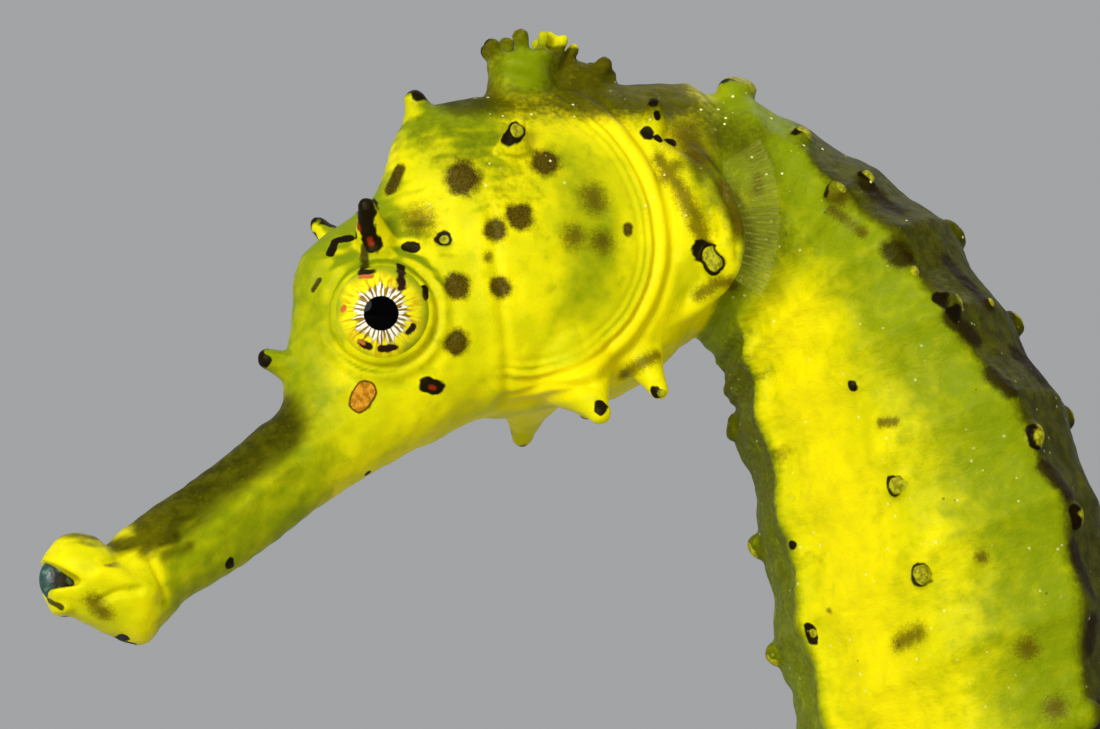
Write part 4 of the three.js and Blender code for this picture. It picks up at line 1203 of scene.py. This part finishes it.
def build_fins():
    """The fins, each with the name of the node it stands in for."""
    fins = []
    for name, (form, tilt, root) in MIDDLE_FINS.items():
        fin = build_fan(name, **form)
        points = y_turned(coordinates(fin.data), tilt) + root
        move_points(fin.data, turned(points, TRUNK_PIVOT_X, TAIL_TURN))
        fins.append((fin, f"fin_{name}"))
    for side, word in ((LEFT, "left"), (RIGHT, "right")):
        fin = build_fan(f"pectoral_{word}", **PECTORAL_FIN)
        root = np.array(PECTORAL_ROOT) * (1, side, 1)
        move_points(fin.data, neck_place(turned(coordinates(fin.data), 0, side * PECTORAL_OPENING) + root))
        fins.append((fin, f"fin_pectoral_{word}"))
    return fins


# Outline of the turned base, from the middle of its underside upwards: height and radius.
BASE_PROFILE = [
    (0, 19.0), (0.08, 20.6), (0.3, 20.9), (0.6, 21), (2.0, 21), (2.2, 20.92), (2.36, 20.7),
    (2.48, 20.35), (2.6, 20.22), (2.75, 20.2), (2.95, 20.24), (3.15, 20.26), (3.4, 20.2), (3.65, 20.05),
    (3.85, 19.8), (3.97, 19.45), (4.0, 19.0), (4.0, 15.0), (4.0, 9.0), (4.0, 3.0),
]
RODS = {"rod_front": (-9, 10.5), "rod_back": (5, 18.3)}  # x and top
ROD_RADIUS = 1.1
ROD_FOOT = 2  # height of its lower end, inside the base
ROD_ROUNDING = 0.3
# Outline of a rod's collar, upwards: height and radius.
COLLAR = [(3.6, 1.75), (4.5, 1.75), (4.66, 1.7), (4.74, 1.6), (4.78, 1.45), (4.8, ROD_RADIUS)]


def turned_form(profile, x=0.0, sides=64):
    """A closed form turned about an upright line. The profile is (height, radius) pairs, upwards."""
    turn = circle(sides)
    return loft([
        np.stack([x + r * np.cos(turn), r * np.sin(turn), np.full(sides, h)], -1) for h, r in profile
    ])


def build_stand():
    """The base and its rods, each with the name of the node it stands in for."""
    base = facing_out(make_object("base", *turned_form(BASE_PROFILE, sides=180)))
    pieces = [(base, "stand_base")]
    for name, (x, top) in RODS.items():
        profile = [(ROD_FOOT, ROD_RADIUS), *COLLAR]
        for a in np.radians(range(0, 91, 15)):
            height = top - ROD_ROUNDING * (1 - math.sin(a))
            profile.append((height, ROD_RADIUS - ROD_ROUNDING * (1 - math.cos(a))))
        rod = facing_out(make_object(name, *turned_form(profile, x)))
        pieces.append((rod, f"stand_{name}"))
    return pieces


# ---------------------------------------------------------------- materials

def srgb(red, green, blue):
    """A colour from its 0-255 display values."""
    channels = [c / 255 for c in (red, green, blue)]
    return (*[c / 12.92 if c <= 0.04045 else ((c + 0.055) / 1.055) ** 2.4 for c in channels], 1)


class Surface:
    """A node material made of a Principled shader, with short calls to add nodes to it."""

    def __init__(self, name, **settings):
        self.material = bpy.data.materials.new(name)
        self.material.use_nodes = True
        self.tree = self.material.node_tree
        self.shader = self.tree.nodes["Principled BSDF"]
        self.set(self.shader, settings)

    def set(self, node, inputs):
        for key, value in inputs.items():
            socket = node.inputs[key.replace("_", " ") if isinstance(key, str) else key]
            if isinstance(value, bpy.types.NodeSocket):
                self.tree.links.new(value, socket)
            else:
                socket.default_value = value

    def add(self, kind, inputs, output=0, **settings):
        node = self.tree.nodes.new("ShaderNode" + kind)
        for key, value in settings.items():
            setattr(node, key, value)
        self.set(node, inputs)
        return node.outputs[output]

    def math(self, operation, *values):
        return self.add("Math", dict(enumerate(values)), operation=operation)

    def times(self, *values):
        return self.math("MULTIPLY", *values)

    def plus(self, *values):
        return self.math("ADD", *values)

    def around_zero(self, value, size):
        """A value between 0 and 1, moved to lie round 0 and spread over size."""
        return self.times(self.math("SUBTRACT", value, 0.5), size)

    def field(self, name):
        return self.add("Attribute", {}, "Fac", attribute_name=name)

    def millimetres(self):
        place = self.add("TexCoord", {}, "Object")
        return self.add("VectorMath", {0: place, "Scale": 1 / MM}, operation="SCALE")

    def noise(self, scale, detail, where=None, rough=0.5):
        place = where or self.millimetres()
        inputs = {"Vector": place, "Scale": scale, "Detail": detail, "Roughness": rough}
        return self.add("TexNoise", inputs, "Fac")

    def dots(self, scale, radius, soft):
        """Small round dots: 1 inside them."""
        distance = self.add("TexVoronoi", {"Vector": self.millimetres(), "Scale": scale}, "Distance")
        return self.step(distance, radius + soft, radius - soft)

    def step(self, value, low, high):
        """0 at low, 1 at high, smooth between."""
        inputs = {"Value": value, "From Min": low, "From Max": high}
        return self.add("MapRange", inputs, interpolation_type="SMOOTHSTEP")

    def spread(self, value, low, high):
        """Low where the value is 0, high where it is 1."""
        return self.add("MapRange", {"Value": value, "To Min": low, "To Max": high})

    def stretched(self, place, factors):
        """A place with its axes scaled, which stretches the patterns on it."""
        return self.add("VectorMath", {0: place, 1: factors}, operation="MULTIPLY")

    def blend(self, share, first, second):
        return self.add("Mix", {0: share, 6: first, 7: second}, 2, data_type="RGBA")

    def over(self, colour, shade, value, low, high, strength=1.0):
        """The colour with a shade over it: none of it where the value is low, most where it is high."""
        share = self.step(value, low, high)
        if strength != 1:
            share = self.times(share, strength)
        return self.blend(share, colour, shade)

    def bump(self, height, strength, distance, normal=None):
        inputs = {"Height": height, "Strength": strength, "Distance": distance}
        if normal:
            inputs["Normal"] = normal
        return self.add("Bump", inputs)

    def finish(self, **inputs):
        self.set(self.shader, inputs)
        return self.material


# Colours of the skin
YELLOW = srgb(244, 232, 0)
DULL_YELLOW = srgb(216, 212, 0)
# the brightest yellow, for the gill cover's rim and the trunk's painted highlight
RIM_AND_HIGHLIGHT_YELLOW = srgb(255, 234, 0)
YELLOW_GREEN = srgb(184, 190, 0)
GREEN = srgb(134, 150, 0)
PORE_GREEN = srgb(128, 128, 4)
DARK_MOSS = srgb(46, 42, 0)
LIGHT_MOSS = srgb(84, 82, 0)
SOFT_BROWN = srgb(78, 54, 0)
BROWN = srgb(36, 22, 0)
FUZZY_BROWN = srgb(34, 16, 0)
FUZZY_SPECK = srgb(84, 58, 0)
BROWN_BLACK = srgb(20, 9, 0)
GOLD_RIM = srgb(84, 46, 0)
RED = srgb(150, 44, 4)
AMBER = srgb(176, 116, 8)
LIGHT_AMBER = srgb(226, 156, 40)
PALE = srgb(138, 134, 10)
LIGHT_PALE = srgb(188, 186, 30)
SPARK = srgb(255, 255, 170)
FRECKLE = srgb(60, 48, 6)


def skin_ground(skin, fine, middle, large):
    """Yellow to yellowish green, with dark moss where the olive field is; the olive and green fields hold
    painted shade as well, and the brightest yellow holds a painted highlight.
    """
    times, plus, around_zero = skin.times, skin.plus, skin.around_zero
    colour = skin.blend(skin.step(large, 0.38, 0.66), YELLOW, DULL_YELLOW)
    colour = skin.over(colour, YELLOW_GREEN, middle, 0.5, 0.72, 0.35)
    green = plus(skin.field("green"), around_zero(middle, 0.6))
    # green where the green field is, painted shade included
    colour = skin.over(colour, GREEN, green, 0.1, 0.95)
    # brightest yellow on the gill cover's rim and in a painted highlight along the trunk
    colour = skin.blend(times(skin.field("rim_and_highlight"), 0.85), colour, RIM_AND_HIGHLIGHT_YELLOW)

    # mottles everywhere, drawn out into streaks along the snout
    turn = {"Vector": skin.millimetres(), "Angle": SNOUT_SLOPE}
    along_snout = skin.add("VectorRotate", turn, rotation_type="Y_AXIS")
    streaks = skin.noise(2.2, 3, skin.stretched(along_snout, (0.14, 1, 1)))
    mottle = plus(around_zero(fine, 0.5), around_zero(middle, 0.5))
    drawn_out = plus(around_zero(streaks, 0.5), around_zero(fine, 0.16))
    mottle = skin.add("Mix", {0: skin.field("snout"), 2: mottle, 3: drawn_out})
    speckled = plus(skin.field("olive"), mottle)
    moss = skin.blend(skin.step(plus(middle, around_zero(fine, 0.5)), 0.3, 0.75), DARK_MOSS, LIGHT_MOSS)
    # dark moss where the olive field is, painted shade included
    colour = skin.over(colour, moss, speckled, 0.1, 0.8, 0.94)
    pores = times(skin.dots(3.2, 0.11, 0.05), times(skin.step(skin.field("olive"), 0.15, 0.7), 0.45))
    return skin.blend(pores, colour, PORE_GREEN)


def skin_marks(skin, colour, fine, grain, dust):
    """Soft marks with dotted edges, then marks with a clear but uneven edge."""
    times, plus, around_zero = skin.times, skin.plus, skin.around_zero
    shape = skin.noise(2.4, 1)
    dotted = plus(around_zero(dust, 0.35), plus(around_zero(grain, 0.3), around_zero(shape, 0.6)))
    dusty = plus(around_zero(dust, 1.1), plus(around_zero(grain, 0.9), around_zero(fine, 0.8)))
    speck = skin.step(plus(around_zero(dust, 0.6), grain), 0.4, 0.62)
    fuzzy = skin.blend(speck, FUZZY_BROWN, FUZZY_SPECK)
    for name, edge, low, high, strength, shade in (
        ("faint", dusty, 1.5, 0.15, 0.8, SOFT_BROWN),
        ("brown", dotted, 1.2, 0.5, 0.92, BROWN),
        ("fuzzy", dotted, 1.2, 0.62, 0.95, fuzzy),
    ):
        near = plus(skin.field(name), edge)
        colour = skin.over(colour, shade, near, low, high, strength)

    wobble = plus(around_zero(shape, 0.9), around_zero(fine, 0.22))
    for name, shade, low in (("dark", BROWN_BLACK, 0.8), ("gold", GOLD_RIM, 0.9), ("red", RED, 0.2)):
        near = plus(skin.field(name), times(wobble, 0.5) if name == "gold" else wobble)
        colour = skin.over(colour, shade, near, 1.08, low)
    pale = skin.blend(skin.step(fine, 0.4, 0.6), PALE, LIGHT_PALE)
    colour = skin.over(colour, pale, plus(skin.field("light"), wobble), 1.05, 0.8)
    inside = plus(skin.field("gold"), plus(times(wobble, 0.5), around_zero(grain, 0.3)))
    amber = skin.blend(skin.step(fine, 0.38, 0.62), AMBER, LIGHT_AMBER)
    return skin.over(colour, amber, inside, 0.9, 0.74)


def skin_dots(skin, colour, large):
    """Pale sparks on the crown and the back, and small dark dots on the body."""
    sparks = skin.times(skin.dots(1.7, 0.1, 0.03), skin.step(skin.noise(0.7, 1), 0.47, 0.55))
    colour = skin.blend(skin.times(sparks, skin.field("sparks")), colour, SPARK)
    freckles = skin.times(skin.dots(0.8, 0.05, 0.015), skin.step(large, 0.45, 0.6))
    return skin.blend(skin.times(freckles, skin.times(skin.field("on_body"), 0.8)), colour, FRECKLE)


def skin_relief(skin):
    """Fine lines round the body and two grades of small bumps."""
    around = skin.times(skin.field("around"), 0.012)
    place = skin.add("CombineXYZ", {0: skin.field("along"), 1: around, 2: 0.0})
    rings = skin.noise(9, 3, place)
    lines = skin.times(skin.step(rings, 0.42, 0.6), skin.field("on_body"))
    normal = skin.bump(lines, 0.25, 0.00008)
    normal = skin.bump(skin.noise(7, 3), 0.35, 0.00006, normal)
    return skin.bump(skin.noise(26, 2), 0.25, 0.00002, normal)


def skin_material():
    skin = Surface("seahorse_skin")
    fine, middle, large = skin.noise(5.5, 3), skin.noise(1.5, 3), skin.noise(0.42, 2)
    grain, dust = skin.noise(14, 2), skin.noise(24, 1)
    colour = skin_ground(skin, fine, middle, large)
    colour = skin_marks(skin, colour, fine, grain, dust)
    colour = skin_dots(skin, colour, large)
    normal = skin_relief(skin)
    rough = {"Value": fine, "From Min": 0.3, "From Max": 0.7, "To Min": 0.4, "To Max": 0.56}
    return skin.finish(
        Base_Color=colour, Roughness=skin.add("MapRange", rough), Normal=normal,
        Subsurface_Weight=0.25, Subsurface_Scale=0.0005, Subsurface_Radius=(1, 0.85, 0.12),
        Specular_IOR_Level=skin.spread(skin.field("olive"), 0.15, 0.06), Specular_Tint=(1, 0.95, 0.4, 1),
    )


def eye_material():
    eye = Surface("seahorse_eye")
    times, plus, around_zero = eye.times, eye.plus, eye.around_zero
    place = eye.add("Attribute", {}, "Vector", attribute_name="in_eye")
    x, y = (eye.add("SeparateXYZ", {0: place}, axis) for axis in "XY")
    x = plus(x, -0.08)  # the pupil sits a little ahead and low
    y = plus(y, 0.16)
    away = eye.math("SQRT", plus(times(x, x), times(y, y)))
    angle = eye.math("ARCTAN2", y, x)
    grain = eye.noise(9, 2, place)

    # polar coordinates for streaks that run out from the pupil
    across = [times(eye.math(turn, angle), 3.0) for turn in ("COSINE", "SINE")]
    polar = eye.add("CombineXYZ", {0: across[0], 1: across[1], 2: times(away, 0.6)})
    streak, wide = eye.noise(2.8, 3, polar), eye.noise(0.7, 2, polar)
    colour = eye.blend(eye.step(streak, 0.4, 0.6), srgb(240, 214, 0), srgb(255, 244, 10))
    rust = times(eye.step(streak, 0.5, 0.36), eye.step(away, 1.7, 1.2))
    colour = eye.blend(times(rust, 0.5), colour, srgb(186, 120, 0))
    colour = eye.over(colour, srgb(168, 178, 8), plus(away, around_zero(wide, 0.8)), 1.4, 1.85)

    # the ring of pale dashes round the pupil
    wave = eye.math("SINE", plus(times(angle, 27.0), around_zero(streak, 10.0)))
    reach = plus(away, plus(around_zero(streak, 0.6), around_zero(wide, 0.5)))
    colour = eye.over(colour, srgb(120, 66, 4), reach, 1.18, 1.0, 0.85)
    dashes = times(eye.step(wave, -0.3, 0.3), eye.step(reach, 1.14, 0.98))
    colour = eye.blend(dashes, colour, srgb(250, 250, 226))
    pupil = eye.step(plus(away, around_zero(grain, 0.05)), 0.685, 0.655)
    colour = eye.blend(pupil, colour, srgb(2, 2, 3))
    blotch = plus(around_zero(eye.noise(3, 1, place), 1.2), around_zero(grain, 0.4))
    for name, shade in (("dark", srgb(40, 14, 2)), ("red", srgb(206, 110, 40))):
        colour = eye.over(colour, shade, plus(eye.field(name), blotch), 1.15, 0.6)
    normal = eye.bump(streak, 0.3, 0.00004)
    shine = times(eye.math("SUBTRACT", 1.0, pupil), 0.15)
    return eye.finish(
        Base_Color=colour, Roughness=0.4, Normal=normal, Specular_IOR_Level=shine,
        Coat_Weight=0.06, Coat_Roughness=0.05, Coat_IOR=1.4,
    )


def lining_material():
    lining = Surface("mouth_lining")
    place = lining.millimetres()
    depth = lining.add("SeparateXYZ", {0: place}, "X")
    grain = lining.noise(5, 3, place)
    # painted shade: the lining turns dark brown deeper in the mouth and stays teal near the lips
    shade = lining.plus(depth, lining.times(grain, 0.5))
    colour = lining.blend(lining.step(shade, -28.95, -29.3), srgb(34, 26, 2), srgb(34, 72, 62))
    patches = lining.step(lining.noise(4, 3, place), 0.52, 0.72)
    colour = lining.blend(patches, colour, srgb(84, 128, 110))
    return lining.finish(
        Base_Color=colour, Roughness=0.4, Normal=lining.bump(grain, 0.6, 0.00008),
        Coat_Weight=0.15, Coat_Roughness=0.12,
    )


def fin_material(name, clear, tint):
    """Membrane that lets light through, with fine rays. Clear is how much of the membrane is open."""
    fin = Surface(name)
    reach, grain = fin.field("reach"), fin.noise(6, 3)
    ray = fin.math("POWER", fin.field("on_ray"), 9.0)
    branches = fin.math("POWER", fin.math("SUBTRACT", 1.0, fin.field("on_ray")), 9.0)
    branches = fin.times(branches, fin.step(reach, 0.45, 0.7))
    lines = fin.math("MAXIMUM", ray, fin.times(branches, 0.8))
    lines = fin.times(lines, fin.times(fin.step(grain, 0.25, 0.55), fin.step(reach, 0.05, 0.5)))
    joints = fin.step(fin.math("SINE", fin.times(reach, 95.0)), -0.9, -0.4)
    colour = fin.blend(fin.step(grain, 0.35, 0.7), tint, srgb(206, 210, 60))
    colour = fin.blend(fin.times(lines, 0.8), colour, srgb(78, 68, 0))
    cover = fin.spread(lines, 1 - clear, 1 - clear * 0.4)
    normal = fin.bump(fin.times(ray, joints), 0.5, 0.00008)
    normal = fin.bump(grain, 0.2, 0.00003, normal)
    return fin.finish(
        Base_Color=colour, Alpha=cover, Roughness=0.28, Normal=normal,
        Subsurface_Weight=0.2, Subsurface_Scale=0.0003, Subsurface_Radius=(1, 0.9, 0.3),
    )


def wood_material():
    """Dark stained beech with long grain and small pores."""
    wood = Surface("stand_wood_grain")
    place = wood.stretched(wood.millimetres(), (0.06, 1.0, 0.8))
    bend = wood.noise(0.16, 2, place)
    along = wood.add("SeparateXYZ", {0: place}, "Y")
    bands = wood.math("SINE", wood.plus(wood.times(along, 2.1), wood.times(bend, 17.0)))
    fibre = wood.noise(3.2, 4, place, 0.65)
    colour = wood.blend(wood.step(bands, -0.9, 0.9), srgb(74, 44, 26), srgb(112, 70, 42))
    colour = wood.over(colour, srgb(50, 28, 16), fibre, 0.45, 0.7, 0.6)
    pores = wood.add("TexVoronoi", {"Vector": place, "Scale": 3.4}, "Distance")
    open_pores = wood.step(pores, 0.13, 0.07)
    colour = wood.blend(wood.times(open_pores, 0.7), colour, srgb(34, 19, 11))
    normal = wood.bump(wood.math("SUBTRACT", fibre, open_pores), 0.3, 0.00006)
    return wood.finish(
        Base_Color=colour, Roughness=wood.spread(fibre, 0.32, 0.5), Normal=normal,
        Coat_Weight=0.35, Coat_Roughness=0.18,
    )


def steel_material():
    """Turned steel with fine lines round the rod."""
    steel = Surface("stand_brushed_steel", Metallic=1.0)
    lines = steel.noise(1.6, 3, steel.stretched(steel.millimetres(), (0.7, 0.7, 16.0)))
    smudge = steel.noise(0.6, 2)
    colour = steel.blend(lines, srgb(168, 168, 166), srgb(206, 206, 204))
    rough = steel.spread(smudge, 0.22, 0.4)
    return steel.finish(Base_Color=colour, Roughness=rough, Normal=steel.bump(lines, 0.2, 0.00002))


def floor_material():
    floor = Surface("studio_floor", Roughness=0.8)
    colour = floor.blend(floor.noise(0.02, 3), srgb(206, 206, 204), srgb(212, 212, 210))
    return floor.finish(Base_Color=colour)


def dress(made, material):
    made.data.materials.clear()
    made.data.materials.append(material)


# ---------------------------------------------------------------- studio

WORLD_COLOUR = (0.86, 0.88, 0.9, 1)
WORLD_STRENGTH = 0.42
FLOOR_HALF = 3.0  # metres
# Round softboxes aimed at the head: name, azimuth and elevation, distance and width in metres, watts.
SOFTBOXES = [
    ("key", -24, 14, 1.0, 0.37, 7.5),
    ("fill", 30, 40, 0.8, 0.5, 0.5),
    ("back", 150, 50, 0.7, 0.4, 0.6),
]
CAMERA_ELEVATION = -7
CAMERA_DISTANCE = 200
FRAME_WIDTH = 44  # how much of the scene the camera takes in, at the head's distance
SENSOR_WIDTH = 36


def direction(azimuth, elevation):
    """Where something stands, seen from the seahorse. Azimuth 0 is in front of its left side."""
    a, e = math.radians(azimuth), math.radians(elevation)
    return Vector((math.sin(a) * math.cos(e), -math.cos(a) * math.cos(e), math.sin(e)))


def aim(made, way, distance):
    """Puts a light or the camera into the scene, that far from the head and turned towards it."""
    made.location = Vector(BODY_SHIFT * MM) + way * distance
    made.rotation_euler = way.to_track_quat("Z", "Y").to_euler()
    bpy.context.scene.collection.objects.link(made)


def softbox(name, azimuth, elevation, distance, width, watts):
    data = bpy.data.lights.new(name, "AREA")
    data.shape = "DISK"
    data.size = width
    data.energy = watts
    aim(bpy.data.objects.new(name, data), direction(azimuth, elevation), distance)


def build_studio():
    scene = bpy.context.scene
    scene.view_settings.view_transform = "Standard"
    scene.view_settings.look = "None"
    world = bpy.data.worlds.new("studio")
    world.use_nodes = True
    background = world.node_tree.nodes["Background"]
    background.inputs["Color"].default_value = WORLD_COLOUR
    background.inputs["Strength"].default_value = WORLD_STRENGTH
    scene.world = world

    corners = [(x * FLOOR_HALF, y * FLOOR_HALF, 0) for x, y in ((-1, -1), (1, -1), (1, 1), (-1, 1))]
    floor = make_object("floor", corners, [(0, 1, 2, 3)])
    dress(floor, floor_material())
    for row in SOFTBOXES:
        softbox(*row)


def build_camera():
    data = bpy.data.cameras.new("camera")
    data.sensor_width = SENSOR_WIDTH
    data.lens = SENSOR_WIDTH * CAMERA_DISTANCE / FRAME_WIDTH
    data.clip_start = 0.005
    camera = bpy.data.objects.new("camera", data)
    aim(camera, direction(0, CAMERA_ELEVATION), CAMERA_DISTANCE * MM)
    bpy.context.scene.camera = camera


# ---------------------------------------------------------------- assembly

FLESH = [
    "jaw_upper", "jaw_lower", "snout", "head", "coronet", "gill_cover_left", "gill_cover_right",
    "neck", "trunk_upper", "trunk_lower", "tail_1", "tail_2", "tail_3", "tail_4", "tail_5",
]

build_studio()
build_camera()

skin = to_stand(build_skin())
dress(skin, skin_material())
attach(skin, "root")
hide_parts(*FLESH)

lining = to_stand(build_lining())
dress(lining, lining_material())
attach(lining, "root")

eye_surface = eye_material()
for side, word in ((LEFT, "left"), (RIGHT, "right")):
    eye = to_stand(build_eye(f"eyeball_{word}", side))
    dress(eye, eye_surface)
    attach(eye, "root")
    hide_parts(f"eye_{word}")

clear_fin = fin_material("clear_fin", 0.94, srgb(170, 176, 40))
yellow_fin = fin_material("yellow_fin", 0.45, srgb(196, 196, 20))
for fin, node in build_fins():
    to_stand(fin)
    dress(fin, clear_fin if "pectoral" in node else yellow_fin)
    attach(fin, "root")
    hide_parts(node)

wood, steel = wood_material(), steel_material()
for piece, node in build_stand():
    move_points(piece.data, coordinates(piece.data) * MM)
    is_base = node == "stand_base"
    dress(piece, wood if is_base else steel)
    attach(piece, "root")
    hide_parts(node)
